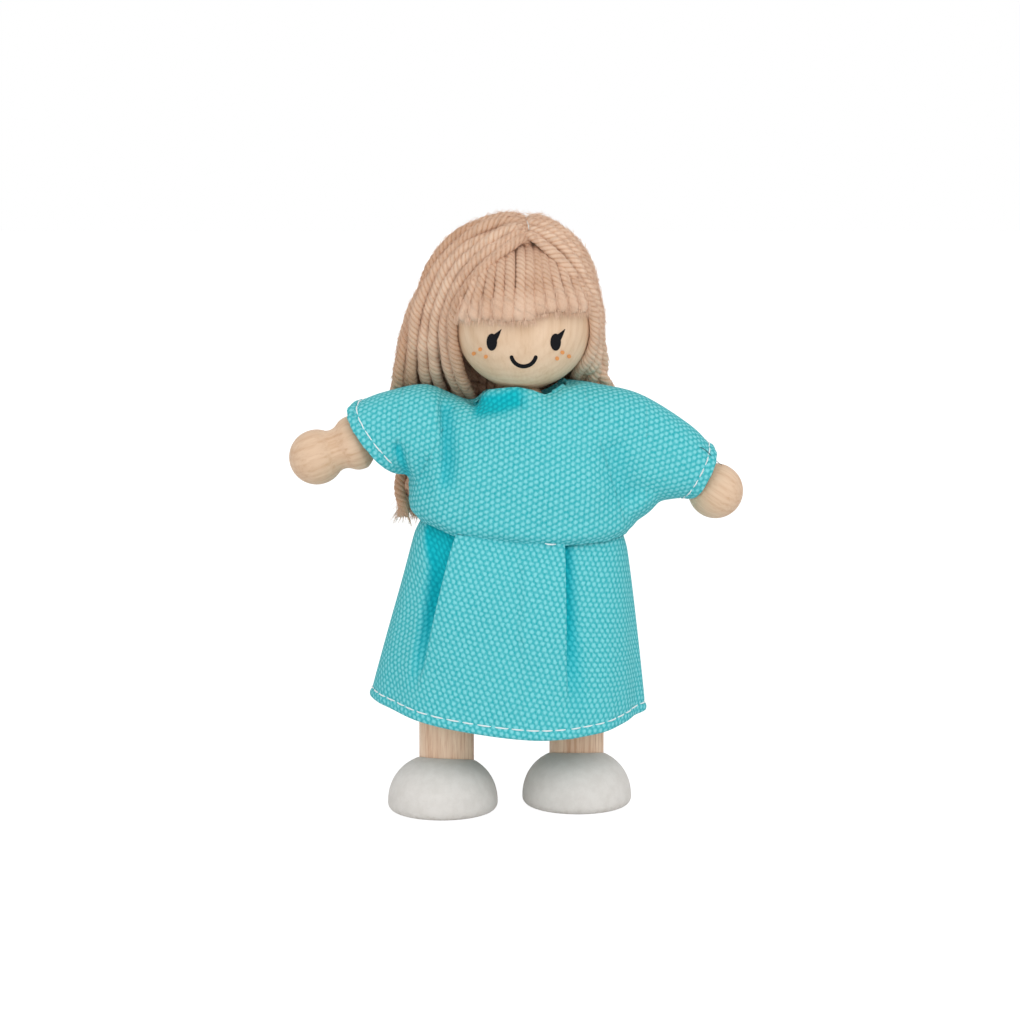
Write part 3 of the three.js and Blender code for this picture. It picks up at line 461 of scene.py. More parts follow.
# %% [markdown]
# ## Elastic
# Inside, elastic cord strings the pieces. It never hangs free, and it stretches at each joint inside the
# bead. Here each bored piece carries its own length of cord, so that no cord is left behind when a limb moves.

# %% Cords inside the pieces
elastic = Finish("elastic_cord", Roughness=0.8)
ribs = elastic.noise(elastic.scaled(elastic.place(), (1, 1, 0.3)), 9000, 2) * 0.5
elastic.to("Base Color", elastic.mix(ribs, linear(248, 246, 240), linear(214, 210, 200)))
elastic.to("Normal", elastic.bump(ribs, 0.00005))


def cord_length(name, start, end, body, *nodes):
    """A round cord with soft ends between two points."""
    run = Vector(end) - Vector(start)
    length = run.length / MM
    outline = [(0, 0), (0.5, 0.12), (0.8, 0.5), (0.8, length - 0.5), (0.5, length - 0.12), (0, length)]
    obj = turned(name, hanging(outline), 16)
    return finished(obj, elastic.material, "elastic", body, *nodes, at=down(Vector(start), run))


chest = (joint["right_shoulder_raise"] + joint["left_shoulder_raise"]) / 2
cord_length("cord_chest", joint["right_shoulder_raise"], joint["left_shoulder_raise"], "torso", "arm_cord")
cord_length("cord_neck", chest + Vector((0, 0, 1.9 * MM)), neck, "torso", "neck_cord")
cord_length("cord_head", neck, head_centre - Vector((0, 0, 7.3 * MM)), "head")
for side in ("right", "left"):
    shoulder, elbow, hip, knee = joints_of(side)
    cord_length(side + "_cord_upper_arm", shoulder, elbow, side + "_upper_arm")
    cord_length(side + "_cord_forearm", elbow, elbow + way[side + "_fore"] * 13.5 * MM, side + "_forearm")
    cord_length(side + "_cord_hip", hip + Vector((0, 0, 13.7 * MM)), hip, "torso", side + "_leg_cord")
    cord_length(side + "_cord_thigh", hip, knee, side + "_thigh")
    cord_length(side + "_cord_shin", knee, knee - Vector((0, 0, 11.7 * MM)), side + "_shin")
print("elastic runs", round((elbow - shoulder).length * 1000, 1), "mm through an upper arm")

# %% [markdown]
# ## Feet
# The feet are half balls dipped in a matt, warm white paint. The paint is scuffed darker in patches along
# its lower edge, and its surface has a very fine orange peel.

# %% Feet
paint = Finish("matt_paint", Roughness=0.72, Specular_IOR_Level=0.35)
place = paint.place()
mottle = paint.step(paint.noise(place, 420, 3, 0.6), 0.3, 0.7)
specks = paint.step(paint.noise(place, 5200, 2, 0.6), 0.6, 0.72)
foot_height = paint.node("ShaderNodeSeparateXYZ", None, {0: place}, 2)
scuff = (1 - paint.step(foot_height, 0.0, 0.0022)) * paint.step(paint.noise(place, 900, 3), 0.4, 0.7)
tone = paint.mix(mottle * 0.5 + specks * 0.35, linear(228, 224, 219), linear(214, 209, 203))
tone = paint.mix(scuff * 0.5, tone, linear(186, 178, 168))
paint.to("Base Color", tone)
paint.to("Roughness", 0.68 + 0.12 * mottle)
paint.to("Normal", paint.bump(paint.noise(place, 2600, 3, 0.6), 0.00006, 0.6))


def foot(name):
    """A half ball with a soft lower edge and a socket for the peg."""
    soft = 1.6
    edge = [(12 - soft * (1 - sin(a)), soft * (1 - cos(a))) for a in [pi / 2 * i / 6 for i in range(7)]]
    angles = [pi / 2 * i / 30 for i in range(1, 31)]
    dome = [(12 * max(cos(a), 0) ** 0.86, soft + (12 - soft) * sin(a) ** 0.92) for a in angles]
    dome[-1] = (0, 12)
    half_ball = turned(name, [(0, 0)] + edge + dome, 96)
    half_ball.location = (0, -3.5 * MM, 0)
    bpy.ops.mesh.primitive_cylinder_add(vertices=96, radius=6.3 * MM, depth=12 * MM, location=(0, 0, 10 * MM))
    drill = bpy.context.object
    only(half_ball)
    bpy.ops.object.transform_apply(location=True, rotation=False, scale=False)
    modified(half_ball, "BOOLEAN", operation="DIFFERENCE", object=drill)
    bpy.data.objects.remove(drill)
    bpy.ops.object.shade_smooth_by_angle(angle=radians(35))
    return half_ball


for side, toe in (("right", -13), ("left", 0)):
    stand = joint[side + "_knee"].copy()
    stand.z = 0
    turn = Matrix.Translation(stand) @ Matrix.Rotation(radians(toe), 4, "Z")
    finished(foot(side + "_foot_piece"), paint.material, "paint", side + "_shin", side + "_foot", at=turn)
print("feet stand", round(joint["left_knee"].x * 1000 - joint["right_knee"].x * 1000, 1), "mm apart")

# %% [markdown]
# ## Head and printed face
# The head is one ball with a hollow seat for the neck bead. The face is printed in flat black ink with six
# soft orange dots. Each mark is drawn flat in front of the ball and wrapped on to it, as the printing pad does.

# %% Head
bpy.ops.mesh.primitive_uv_sphere_add(segments=96, ring_count=64, radius=HEAD_R, location=head_centre)
head = bpy.context.object
head.name = "head_piece"
bpy.ops.mesh.primitive_uv_sphere_add(segments=48, ring_count=32, radius=5.3 * MM, location=neck)
seat_ball = bpy.context.object
modified(head, "BOOLEAN", operation="DIFFERENCE", object=seat_ball)
bpy.data.objects.remove(seat_ball)
bpy.ops.object.shade_smooth_by_angle(angle=radians(40))
finished(head, head_wood, "wood", "head", "head_ball")
print("head faces", len(head.data.polygons))

# %% Printed marks
INK = 0.06
ink = flecked("black_ink", 3000, (14, 13, 16), (26, 25, 29), Roughness=0.6, Specular_IOR_Level=0.1)
dots = flecked("orange_ink", 2500, (240, 150, 78), (236, 165, 105), Roughness=0.6, Specular_IOR_Level=0.3)


def seen_at(px, py, y=-13.0):
    """The x and z of a point at depth y that the camera sees at a pixel, all in millimetres."""
    sight = camera.rotation_euler.to_matrix() @ Vector(((px - 510) / FOCAL, (510 - py) / FOCAL, -1))
    point = camera.location + sight * ((y * MM - camera.location.y) / sight.y)
    return point.x / MM, point.z / MM


def on_ball(x, z):
    """The depth of the head's front at x and z, in millimetres."""
    reach = 15.0**2 - (x - head_centre.x / MM) ** 2 - (z - head_centre.z / MM) ** 2
    return head_centre.y / MM - sqrt(max(reach, 0.01))


def on_face(px, py):
    """The x and z on the ball's front that the camera sees at a pixel."""
    y = -12.0
    for _ in range(6):
        x, z = seen_at(px, py, y)
        y = on_ball(x, z)
    return x, z


def printed(name, outlines, material):
    """Fills closed outlines of (x, z) millimetres and wraps them on to the ball as a thin film of ink."""
    mesh = bpy.data.meshes.new(name)
    shape = bmesh.new()
    for outline in outlines:
        shape.faces.new([shape.verts.new((x * MM, -20 * MM, z * MM)) for x, z in outline])
    bmesh.ops.triangulate(shape, faces=shape.faces)
    shape.to_mesh(mesh)
    shape.free()
    obj = bpy.data.objects.new(name, mesh)
    bpy.context.scene.collection.objects.link(obj)
    only(obj)
    bpy.ops.object.mode_set(mode="EDIT")
    bpy.ops.mesh.select_all(action="SELECT")
    bpy.ops.mesh.subdivide(number_cuts=1)
    bpy.ops.mesh.subdivide(number_cuts=1)
    bpy.ops.object.mode_set(mode="OBJECT")
    for vertex in mesh.vertices:
        flat = Vector((vertex.co.x, on_ball(vertex.co.x / MM, vertex.co.z / MM) * MM, vertex.co.z))
        vertex.co = head_centre + (flat - head_centre).normalized() * (HEAD_R + (INK + 0.01) * MM)
    modified(obj, "SOLIDIFY", thickness=INK * MM, offset=-1)
    face_outwards(obj)
    bpy.ops.object.shade_smooth_by_angle(angle=radians(40))
    return finished(obj, material, "paint", "head")


def oval(px, py, wide, high, steps=36):
    angles = [2 * pi * i / steps for i in range(steps)]
    return [on_face(px + wide * cos(a), py + high * sin(a)) for a in angles]


def stroke(points, widths):
    """The outline of a pen stroke along points in pixels, with round ends where it is wide."""
    points = [Vector(p) for p in points]
    left, right = [], []
    for i, point in enumerate(points):
        ahead = points[min(i + 1, len(points) - 1)] - points[max(i - 1, 0)]
        normal = Vector((-ahead.y, ahead.x)).normalized() * widths[i] / 2
        left.append(point + normal)
        right.append(point - normal)

    def cap(centre, start):
        return [centre + Matrix.Rotation(-pi * i / 7, 2) @ (start - centre) for i in range(1, 7)]

    ring = left + (cap(points[-1], left[-1]) if widths[-1] > 1 else []) + right[::-1]
    ring += cap(points[0], right[0]) if widths[0] > 1 else []
    return [on_face(*p) for p in ring]


def lash(px, py):
    """A lash that leaves the upper right of the eye and tapers to a point."""
    path = [(px + 2.2, py - 3.4), (px + 4.4, py - 6.2), (px + 6.7, py - 9.1), (px + 9.5, py - 12.9)]
    return stroke(path, [6.6, 5.2, 3.1, 0.3])


for name, px, py in (("right_eye", 492, 342), ("left_eye", 555.5, 342)):
    printed(name, [oval(px, py, 5.2, 8.5)], ink)
    printed(name + "_lash", [lash(px, py)], ink)
mouth_angles = [0.267 + (pi - 0.534) * i / 22 for i in range(23)]
smile = [(523.65 - 12.5 * cos(a), 353.9 + 12.4 * sin(a)) for a in mouth_angles]
printed("mouth", [stroke(smile, [3.8] * len(smile))], ink)
spots = [(474, 353.4), (480.4, 349.2), (486, 356.5), (557, 358.3), (562.3, 352.3), (568.9, 356.2)]
for i, spot in enumerate(spots):
    printed(f"freckle_{i + 1}", [oval(*spot, 1.9, 1.9, 18)], dots)
print("the mouth is", round((on_face(535.7, 357)[0] - on_face(511.6, 357)[0]), 1), "mm wide")

# %% [markdown]
# ## Canvas
# The dress is cut from a firm canvas in plain weave: each float of the warp stands up between two floats
# of the weft, so the floats form a chequerboard. Its colour is painted pale on the raised floats and deep
# in the pits between them, which is painted light and shade on the weave, and creases get a deeper blue
# as painted shade. The pattern is drawn on the cloth's own flat pattern, in millimetres, so that it turns
# and bends with the cloth.

# %% Canvas finish
def canvas(name, first, second):
    """First and second are the two waves of the weave, in turns for each millimetre of the flat pattern."""
    cloth = Finish(name, Roughness=0.85, Specular_IOR_Level=0.12, Sheen_Weight=0.05)
    flat = cloth.node("ShaderNodeUVMap", {"uv_map": "cloth"})
    # The fold attribute marks creases and recesses, where deeper blues are painted in as shade.
    fold = cloth.node("ShaderNodeAttribute", {"attribute_name": "fold"}, output="Fac")
    u, v = [cloth.node("ShaderNodeSeparateXYZ", None, {0: flat}, i) for i in (0, 1)]
    u = u + cloth.noise(flat, 0.35, 2, 0.5) * 0.55 + cloth.noise(flat, 1.1, 2, 0.5) * 0.4
    v = v + cloth.noise(flat, 0.43, 2, 0.5) * 0.55 + cloth.noise(flat, 1.3, 2, 0.5) * 0.4
    turns = [(u * wave[0] + v * wave[1]) * (2 * pi) for wave in (first, second)]
    floats = turns[0].cosine() + turns[1].cosine() * 0.8 + (turns[0] - turns[1]).cosine() * 0.7
    uneven = cloth.noise(cloth.scaled(flat, (2.4, 1.5, 1)), 1, 3, 0.6)
    raised = cloth.step(floats + uneven * 3.6, -0.6, 4.0)
    fibres = cloth.noise(cloth.scaled(flat, (8, 3, 1)), 1, 3, 0.7)
    broad = cloth.noise(flat, 0.07, 2, 0.5)
    # deep is painted shade in the pits between the floats and pale is painted light on their tops; broad and
    # fibres only vary the tone.
    deep = cloth.mix(broad, linear(18, 166, 176), linear(44, 182, 190))
    pale = cloth.mix(fibres, linear(108, 208, 216), linear(152, 232, 238))
    colour = cloth.mix(raised, deep, pale)
    # Painted shade: in creases and recesses the weave turns a deeper, more saturated blue.
    colour = cloth.mix(fold, colour, cloth.mix(raised, linear(0, 164, 180), linear(22, 200, 212)))
    cloth.to("Base Color", colour)
    cloth.to("Roughness", 0.92 - 0.12 * raised)
    cloth.to("Normal", cloth.bump(raised + fibres * 0.25, 0.0002, 0.6))
    return cloth.material


skirt_canvas = canvas("canvas_skirt", (0.808, 0.345), (0.663, -0.57))
top_canvas = canvas("canvas_top", (0.385, -0.846), (0.954, -0.075))
thread = flecked("white_thread", 6000, (250, 252, 252), (222, 236, 238), Roughness=0.7)
thread_end = flecked("grey_thread", 6000, (60, 92, 98), (30, 60, 66), Roughness=0.7)

tape = Finish("hook_and_loop", Roughness=0.9)
hooks = tape.noise(tape.place(), 4200, 2, 0.5)
tape.to("Base Color", tape.mix(tape.step(hooks, 0.4, 0.6), linear(70, 186, 194), linear(112, 212, 218)))
tape.to("Normal", tape.bump(hooks, 0.0003, 0.8))
CLOTH = 0.5 * MM
print("canvas finishes", [m.name for m in bpy.data.materials if m.name.startswith("canvas")])

# %% [markdown]
# ## Dress top
# Bodice and sleeves are cut in one. Two closed forms are lofted, one from sleeve hem to sleeve hem and one
# up the body, and a voxel remesh runs them together as the cloth does under the arm. The folds are then
# pressed in, the openings are cut, and the hems are turned under. No cloth simulation is run: the stiff
# canvas keeps a few broad folds, and pressing them in puts each one where the picture has it.

# %% Forms under the top
def spline(points, shares):
    """A smooth curve through points, read at shares of its length in points."""
    points = np.asarray(points, float)
    padded = np.concatenate([[2 * points[0] - points[1]], points, [2 * points[-1] - points[-2]]])
    place = np.clip(np.asarray(shares, float), 0, 1) * (len(points) - 1)
    i = np.minimum(place.astype(int), len(points) - 2)
    t = (place - i).reshape((-1,) + (1,) * (points.ndim - 1))
    a, b, c, d = (padded[i + k] for k in range(4))
    return 0.5 * (2 * b + (c - a) * t + (2 * a - 5 * b + 4 * c - d) * t**2 + (3 * b - a - 3 * c + d) * t**3)


def signed_power(value, power): return np.sign(value) * np.abs(value) ** power


def mesh_object(name, vertices, faces):
    mesh = bpy.data.meshes.new(name)
    mesh.from_pydata([tuple(v) for v in vertices], [], faces)
    obj = bpy.data.objects.new(name, mesh)
    bpy.context.scene.collection.objects.link(obj)
    return obj


def tube_faces(rows, sides):
    """Quads between the rings of a closed tube, and a cap at each end."""
    index = np.arange(rows * sides).reshape(rows, sides)
    a, b = index[:-1], index[1:]
    quads = np.stack([a, np.roll(a, -1, 1), np.roll(b, -1, 1), b], -1).reshape(-1, 4)
    return quads.tolist() + [index[0][::-1].tolist(), index[-1].tolist()]


def lofted(name, rings):
    return mesh_object(name, rings.reshape(-1, 3) * MM, tube_faces(*rings.shape[:2]))


M = np.array(torso_middle) / MM
J = {name: np.array(place) / MM for name, place in joint.items()}
W = {name: np.array(direction) for name, direction in way.items()}


def section(centre, slant, up, under, half_depth):
    line = np.array((-sin(radians(slant)), 0, cos(radians(slant))))
    return np.concatenate([centre + line * up, centre - line * under, [half_depth]])


def chest_section(x, over, under, half_depth):
    return section(M + (x, 0, 33.5), 0, 4.8 + over, under, half_depth)


def along(side, limb, distance):
    start = J[side + ("_elbow" if limb == "fore" else "_shoulder_raise")]
    return start + W[side + "_" + limb] * distance


sleeve_sections = [
    section(along("right", "fore", 6.4), 38, 8.3, 10.2, 8.2),
    section(along("right", "fore", 2.4), 37, 8.4, 10.3, 8.2),
    section(along("right", "upper", 11.5), 19, 9.2, 11.0, 9.0),
    section(along("right", "upper", 4.5), 4, 10.8, 13.0, 10.2),
    chest_section(-11.1, 2.9, 15, 11.6),
    chest_section(-6.5, 5.8, 16, 11.9),
    chest_section(3.5, 5.6, 16, 11.9),
    chest_section(9.5, 7.4, 16, 11.6),
    chest_section(15.5, 6.6, 16, 10.9),
    section(along("left", "upper", 9), -8, 11.2, 12.9, 9.4),
    section(along("left", "fore", 4.5), -24, 9.0, 9.4, 8.9),
    section(along("left", "fore", 11.4), -26, 7.6, 4.3, 8.0),
    section(along("left", "fore", 15.6), -26, 7.3, 3.7, 7.9),
]
shares = np.linspace(0, 1, 97)
lines = spline(sleeve_sections, shares)
angles = np.linspace(0, 2 * pi, 48, endpoint=False)
rings = []
for line in lines:
    middle, half = (line[:3] + line[3:6]) / 2, (line[:3] - line[3:6]) / 2
    out = signed_power(np.sin(angles), 0.85)[:, None] * np.array((0, -line[6], 0))
    rings.append(middle + signed_power(np.cos(angles), 0.85)[:, None] * half + out)
sleeves = lofted("sleeves", np.array(rings))

WAIST, TILT = 13.4, tan(radians(1.7))
body_rings = [(WAIST - 5, 0, 0), (WAIST, 0, 0), (WAIST + 1.3, 1.5, 1.6), (WAIST + 5, 2.1, 2.0),
              (WAIST + 12, 1, 1.6), (WAIST + 19, -5.5, 0), (WAIST + 23, -9.5, -1)]
body = spline(body_rings, np.linspace(0, 1, 43))
angles = np.linspace(0, 2 * pi, 96, endpoint=False)
rings = []
for height, wide, deep in body:
    x = (22.3 + wide) * signed_power(np.cos(angles), 0.76) * np.where(np.cos(angles) > 0, 1.035, 1)
    y = (12.6 + deep) * signed_power(np.sin(angles), 0.76)
    rings.append(M + np.stack([x, y, height - x * TILT], 1))
bodice = lofted("bodice", np.array(rings))
bpy.ops.mesh.primitive_uv_sphere_add(segments=48, ring_count=24, radius=MM)
gusset = bpy.context.object
gusset.scale = (7.6, 8.6, 4.3)
gusset.rotation_euler = (0, -radians(36), 0)
gusset.location = Vector((25.4, M[1], 67.4)) * MM
only(gusset)
bpy.ops.object.transform_apply(location=True, rotation=True, scale=True)
print("lofted", len(sleeves.data.vertices), "and", len(bodice.data.vertices), "points")

# %% Run together
for form in (sleeves, gusset, bodice):
    face_outwards(form)
for form in (sleeves, gusset):
    form.select_set(True)
bpy.ops.object.join()
top = bodice
top.name = "dress_shell"
modified(top, "REMESH", mode="VOXEL", voxel_size=0.62 * MM)
modified(top, "SMOOTH", factor=0.5, iterations=10)
print("the top has", len(top.data.polygons), "faces")

# %% Pressing folds
def points_of(obj):
    flat = np.empty(len(obj.data.vertices) * 3)
    obj.data.vertices.foreach_get("co", flat)
    return flat.reshape(-1, 3) / MM


def normals_of(obj):
    flat = np.empty(len(obj.data.vertices) * 3)
    obj.data.vertex_normals.foreach_get("vector", flat)
    return flat.reshape(-1, 3)


def set_points(obj, points):
    obj.data.vertices.foreach_set("co", (points * MM).ravel())
    obj.data.update()


def gap_to(path, x, z):
    """The distance of each (x, z) from a line, above 0 on its left, and the share of the way along."""
    best, side, share = np.full(len(x), 1e9), np.ones(len(x)), np.zeros(len(x))
    for i, (a, b) in enumerate(zip(path, path[1:])):
        a, run = np.array(a), np.array(b) - np.array(a)
        t = np.clip(((x - a[0]) * run[0] + (z - a[1]) * run[1]) / (run @ run), 0, 1)
        gap = np.hypot(x - a[0] - t * run[0], z - a[1] - t * run[1])
        near = gap < best
        best[near], share[near] = gap[near], (i + t[near]) / (len(path) - 1)
        side[near] = np.sign(run[0] * (z - a[1]) - run[1] * (x - a[0]))[near]
    return best * side, share


# fold holds the deep blue painted shade that the creases get.
top.data.attributes.new("fold", "FLOAT", "POINT")


def press(obj, pixels, widths, depth, depth_end, front=True, tone_and_painted_light=0.0, slide=0.35):
    """Presses a fold along a line of pixels in the picture. Widths are those on its left and right, and the
    depth runs from one end to the other, in mm; a depth below 0 raises a ridge. A share of deep blue painted
    shade can be laid along the crease as well."""
    points, normals = points_of(obj), normals_of(obj)
    side = -1 if front else 1
    path = [seen_at(px, py, -10) for px, py in pixels]
    gap, share = gap_to(path, points[:, 0], points[:, 2])
    facing = np.clip(normals[:, 1] * side * 1.6 + 0.75, 0, 1) * (side * (points[:, 1] - M[1]) > -1)
    width = np.where(gap > 0, widths[0], widths[1])
    fade = np.clip(share * 7, 0, 1) * np.clip((1 - share) * 7, 0, 1)
    shape = np.exp(-((gap / width) ** 2)) * facing * (0.25 + 0.75 * fade)
    amount = (depth + (depth_end - depth) * share) * shape
    inward = -normals * (1 - slide) + np.array((0, -side, 0)) * slide
    # The fold attribute keeps the strongest painted shade laid at each point.
    painted_shade_store = obj.data.attributes["fold"].data
    painted_shade_so_far = np.empty(len(points))
    painted_shade_store.foreach_get("value", painted_shade_so_far)
    spread = np.clip(1.9 - 1.5 * np.abs(gap) / width, 0, 1)
    painted_shade_store.foreach_set("value", np.maximum(painted_shade_so_far, tone_and_painted_light * spread * facing * fade))
    set_points(obj, points + inward * amount[:, None])


# Each fold: pixels, widths on its left and right, depth at its start and end, and the share of deep blue painted
# shade laid in it.
front_folds = [
    ([(441, 400), (442, 425), (444, 460), (441, 494)], (2.8, 0.6), 2.5, 1.2, 0.55),
    ([(455, 402), (460, 430), (460, 470)], (1.4, 1.4), -0.35, -0.2, 0),
    ([(430, 392), (429, 430), (424, 470)], (2.4, 2.6), -0.9, -0.3, 0),
    ([(396, 444), (401, 460), (409, 486)], (0.8, 1.2), 1.1, 0.7, 0.8),
    ([(413, 440), (411, 462), (415, 484)], (1.3, 1.3), -0.5, -0.3, 0),
    ([(424, 455), (422, 475), (428, 500)], (1.6, 1.2), 0.5, 0.3, 0.15),
    ([(612, 440), (619, 470), (622, 512)], (3.2, 3.2), 0.8, 0.6, 0.15),
    ([(596, 430), (592, 470), (585, 520)], (3.5, 3.5), -0.5, -0.3, 0),
    ([(560, 400), (575, 420), (600, 470)], (2.6, 2.6), 0.45, 0.2, 0),
    ([(640, 420), (655, 450), (660, 480)], (3.0, 3.0), 0.45, 0.3, 0),
    ([(500, 440), (470, 480), (440, 520)], (4.0, 4.0), 0.35, 0.2, 0),
    ([(480, 520), (540, 530), (600, 526)], (1.8, 1.8), -0.35, -0.35, 0),
]
for pixels, widths, depth, depth_end, tone_and_painted_light in front_folds:
    press(top, pixels, widths, depth, depth_end, tone_and_painted_light=tone_and_painted_light)
back_folds = [
    [(400, 400), (440, 470), (470, 540)],
    [(610, 400), (590, 460), (560, 540)],
    [(520, 420), (525, 540)],
]
for pixels in back_folds:
    press(top, pixels, (3.0, 3.0), 0.7, 0.5, front=False)
print("folds pressed into", len(top.data.vertices), "points")

# %% Openings
@contextmanager
def shape_of(obj):
    """The object's mesh as a shape to edit, which is written back at the end."""
    shape = bmesh.new()
    shape.from_mesh(obj.data)
    yield shape
    shape.to_mesh(obj.data)
    shape.free()


def cut_away(obj, point, normal, chosen):
    """Cuts along a plane, given in millimetres, and drops what lies beyond it among the chosen faces."""
    only(obj)
    bpy.ops.object.mode_set(mode="EDIT")
    shape = bmesh.from_edit_mesh(obj.data)
    shape.select_mode = {"FACE"}
    for face in shape.faces:
        face.select = bool(chosen(face.calc_center_median() / MM))
    shape.select_flush_mode()
    bmesh.update_edit_mesh(obj.data)
    place = tuple(float(v) * MM for v in point)
    bpy.ops.mesh.bisect(plane_co=place, plane_no=normal, clear_outer=True, use_fill=False)
    bpy.ops.object.mode_set(mode="OBJECT")


right_hem = (sleeve_sections[1][:3] + sleeve_sections[1][3:6]) / 2
left_hem = (sleeve_sections[-2][:3] + sleeve_sections[-2][3:6]) / 2
right_hem_way = np.array(Vector((-cos(radians(37)), 0.3, -sin(radians(37)))).normalized())
left_hem_way = np.array(Vector((cos(radians(27)), 0.14, -sin(radians(27)))).normalized())
STITCH_IN = 2.0
BELOW_ARMS = 66


def hem_band(obj, hem, hem_way, sleeve):
    """Puffs up the cloth where the hem is doubled, and draws it in along the stitches."""
    points, normals = points_of(obj), normals_of(obj)
    inside = -(points - hem) @ hem_way
    puff = 0.3 * np.clip(1 - ((inside - 0.85) / 1.05) ** 2, 0, 1)
    puff -= 0.16 * np.exp(-(((inside - STITCH_IN) / 0.35) ** 2))
    ripple = 0.09 * np.sin(points[:, 2] * 1.9 + points[:, 1] * 1.1) * np.exp(-((inside / 3.0) ** 2))
    set_points(obj, points + normals * ((puff + ripple) * sleeve(points))[:, None])


hem_band(top, right_hem, right_hem_way, lambda p: p[:, 0] < -23)
hem_band(top, left_hem, left_hem_way, lambda p: p[:, 0] > 33)
cut_away(top, right_hem, right_hem_way, lambda c: c.z > 69.0 and (c.x < -24.4 or c.z > 71))
cut_away(top, left_hem, left_hem_way, lambda c: c.x > 33.5)
cut_away(top, M + (0, 0, WAIST), (-TILT, 0, -1), lambda c: c.z < BELOW_ARMS)
print("the top is cut down to", len(top.data.polygons), "faces")

# %% Neckline and slit
NECK_X, NECK_Y, NECK_WIDE, NECK_DEEP = M[0] + 0.2, M[1], 9.9, 7.4
COLLAR_LOW, SLIT_LOW, SLIT_HALF = 83, 62.5, 0.35


def in_neck(c):
    """Below 1 inside the oval of the neckline, and above 1 outside it."""
    return ((c.x / MM - NECK_X) / NECK_WIDE) ** 2 + ((c.y / MM - NECK_Y) / NECK_DEEP) ** 2


def near_neck(c, reach): return c.z > COLLAR_LOW * MM and in_neck(c) < reach


def drop_faces(shape, chosen):
    gone = [f for f in shape.faces if chosen(f.calc_center_median())]
    bmesh.ops.delete(shape, geom=gone, context="FACES")


def rim_vertices(shape, chosen): return [v for v in shape.verts if v.is_boundary and chosen(v.co)]


def drop_crumbs(shape):
    """Keeps only the largest connected part of a shape."""
    unseen, parts = set(shape.faces), []
    while unseen:
        heap, part = [unseen.pop()], []
        while heap:
            face = heap.pop()
            part.append(face)
            for near in {f for e in face.edges for f in e.link_faces} & unseen:
                unseen.discard(near)
                heap.append(near)
        parts.append(part)
    parts.sort(key=len)
    bmesh.ops.delete(shape, geom=[f for part in parts[:-1] for f in part], context="FACES")


with shape_of(top) as shape:
    drop_faces(shape, lambda c: near_neck(c, 1))
    for vertex in rim_vertices(shape, lambda c: near_neck(c, 1.6)):
        reach = sqrt(in_neck(vertex.co))
        vertex.co.x = (NECK_X + (vertex.co.x / MM - NECK_X) / reach) * MM
        vertex.co.y = (NECK_Y + (vertex.co.y / MM - NECK_Y) / reach) * MM
    drop_crumbs(shape)
    rim = set(rim_vertices(shape, lambda c: near_neck(c, 1.2)))
    for _ in range(12):
        level = {}
        for vertex in rim:
            ring = [e.other_vert(vertex) for e in vertex.link_edges if e.is_boundary]
            beside = [v for v in ring if v in rim]
            if len(beside) == 2:
                level[vertex] = (vertex.co + (beside[0].co + beside[1].co) / 2) / 2
        for vertex, place in level.items():
            vertex.co = place
    drop_faces(shape, lambda c: abs(c.x - M[0] * MM) < SLIT_HALF * MM and c.y > M[1] * MM)
    for vertex in rim_vertices(shape, lambda c: abs(c.x / MM - M[0]) < 1 and c.y > (M[1] + 3) * MM):
        if vertex.co.z > SLIT_LOW * MM:
            vertex.co.x = (M[0] + (SLIT_HALF if vertex.co.x / MM > M[0] else -SLIT_HALF)) * MM

# The front of the neckline stands up, as high as the picture shows it.
points = points_of(top)
edge = np.hypot((points[:, 0] - NECK_X) / NECK_WIDE, (points[:, 1] - NECK_Y) / NECK_DEEP)
gap = np.abs(edge - 1) * 8
neckline = [(455, 396), (466, 403), (474, 407), (477, 401), (480, 394), (488, 389), (501, 388), (517, 387),
            (533, 390), (546, 394.5), (556, 391), (566, 384)]
RIM_Y = -5.5
across = [seen_at(px, 0)[0] for px, _ in neckline]
wanted = np.interp(points[:, 0], across, [seen_at(0, py, RIM_Y)[1] for _, py in neckline])
wanted -= (points[:, 1] - RIM_Y) * tan(lens_height)
rim = (points[:, 2] > 80) & (points[:, 1] < M[1] + 4) & (gap < 6)
near_rim = rim & (gap < 0.3) & (points[:, 1] < M[1])
order = np.argsort(points[near_rim, 0])
lift = wanted - np.interp(points[:, 0], points[near_rim, 0][order], points[near_rim, 2][order])
share = np.clip((M[1] + 3.5 - points[:, 1]) / 4, 0, 1) * np.exp(-((gap / 2.1) ** 2)) * rim
points[:, 2] += lift * share


def slip(points):
    """The waist seam isn't level: it rides up at the figure's right and sags in front."""
    x = points[..., 0] - M[0]
    rise = np.interp(x, (-23, -19, -14, 0, 9, 18, 24), (1.8, 0.8, -1.0, -1.8, -2.0, -1.2, 0.1))
    forward = np.clip((M[1] + 8 - points[..., 1]) / 8, 0, 1)
    return rise * forward * np.exp(-(((points[..., 2] - 61.2) / 7.5) ** 2))


points[:, 2] += slip(points)
set_points(top, points)
press(top, [(460, 404), (472, 413), (488, 419), (506, 417), (524, 405)], (1.3, 1.7), -1.1, -0.2, slide=0.8)
# The hollow under the collar is pressed in and painted full deep blue, as shade.
hollow = [(470, 409), (478, 408), (490, 406), (502, 404), (513, 400), (530, 396)]
press(top, hollow, (2.2, 2.4), 2.6, 0.5, tone_and_painted_light=1.0, slide=0.9)
print("neckline lifted by up to", round(float((lift * share).max()), 1), "mm")

# %% [markdown]
# The flat pattern of the top comes from an unwrap, cut along the shoulders and the sides as the real
# pattern is. The unwrap is turned and sized until its front lies over the front of the dress, in millimetres.

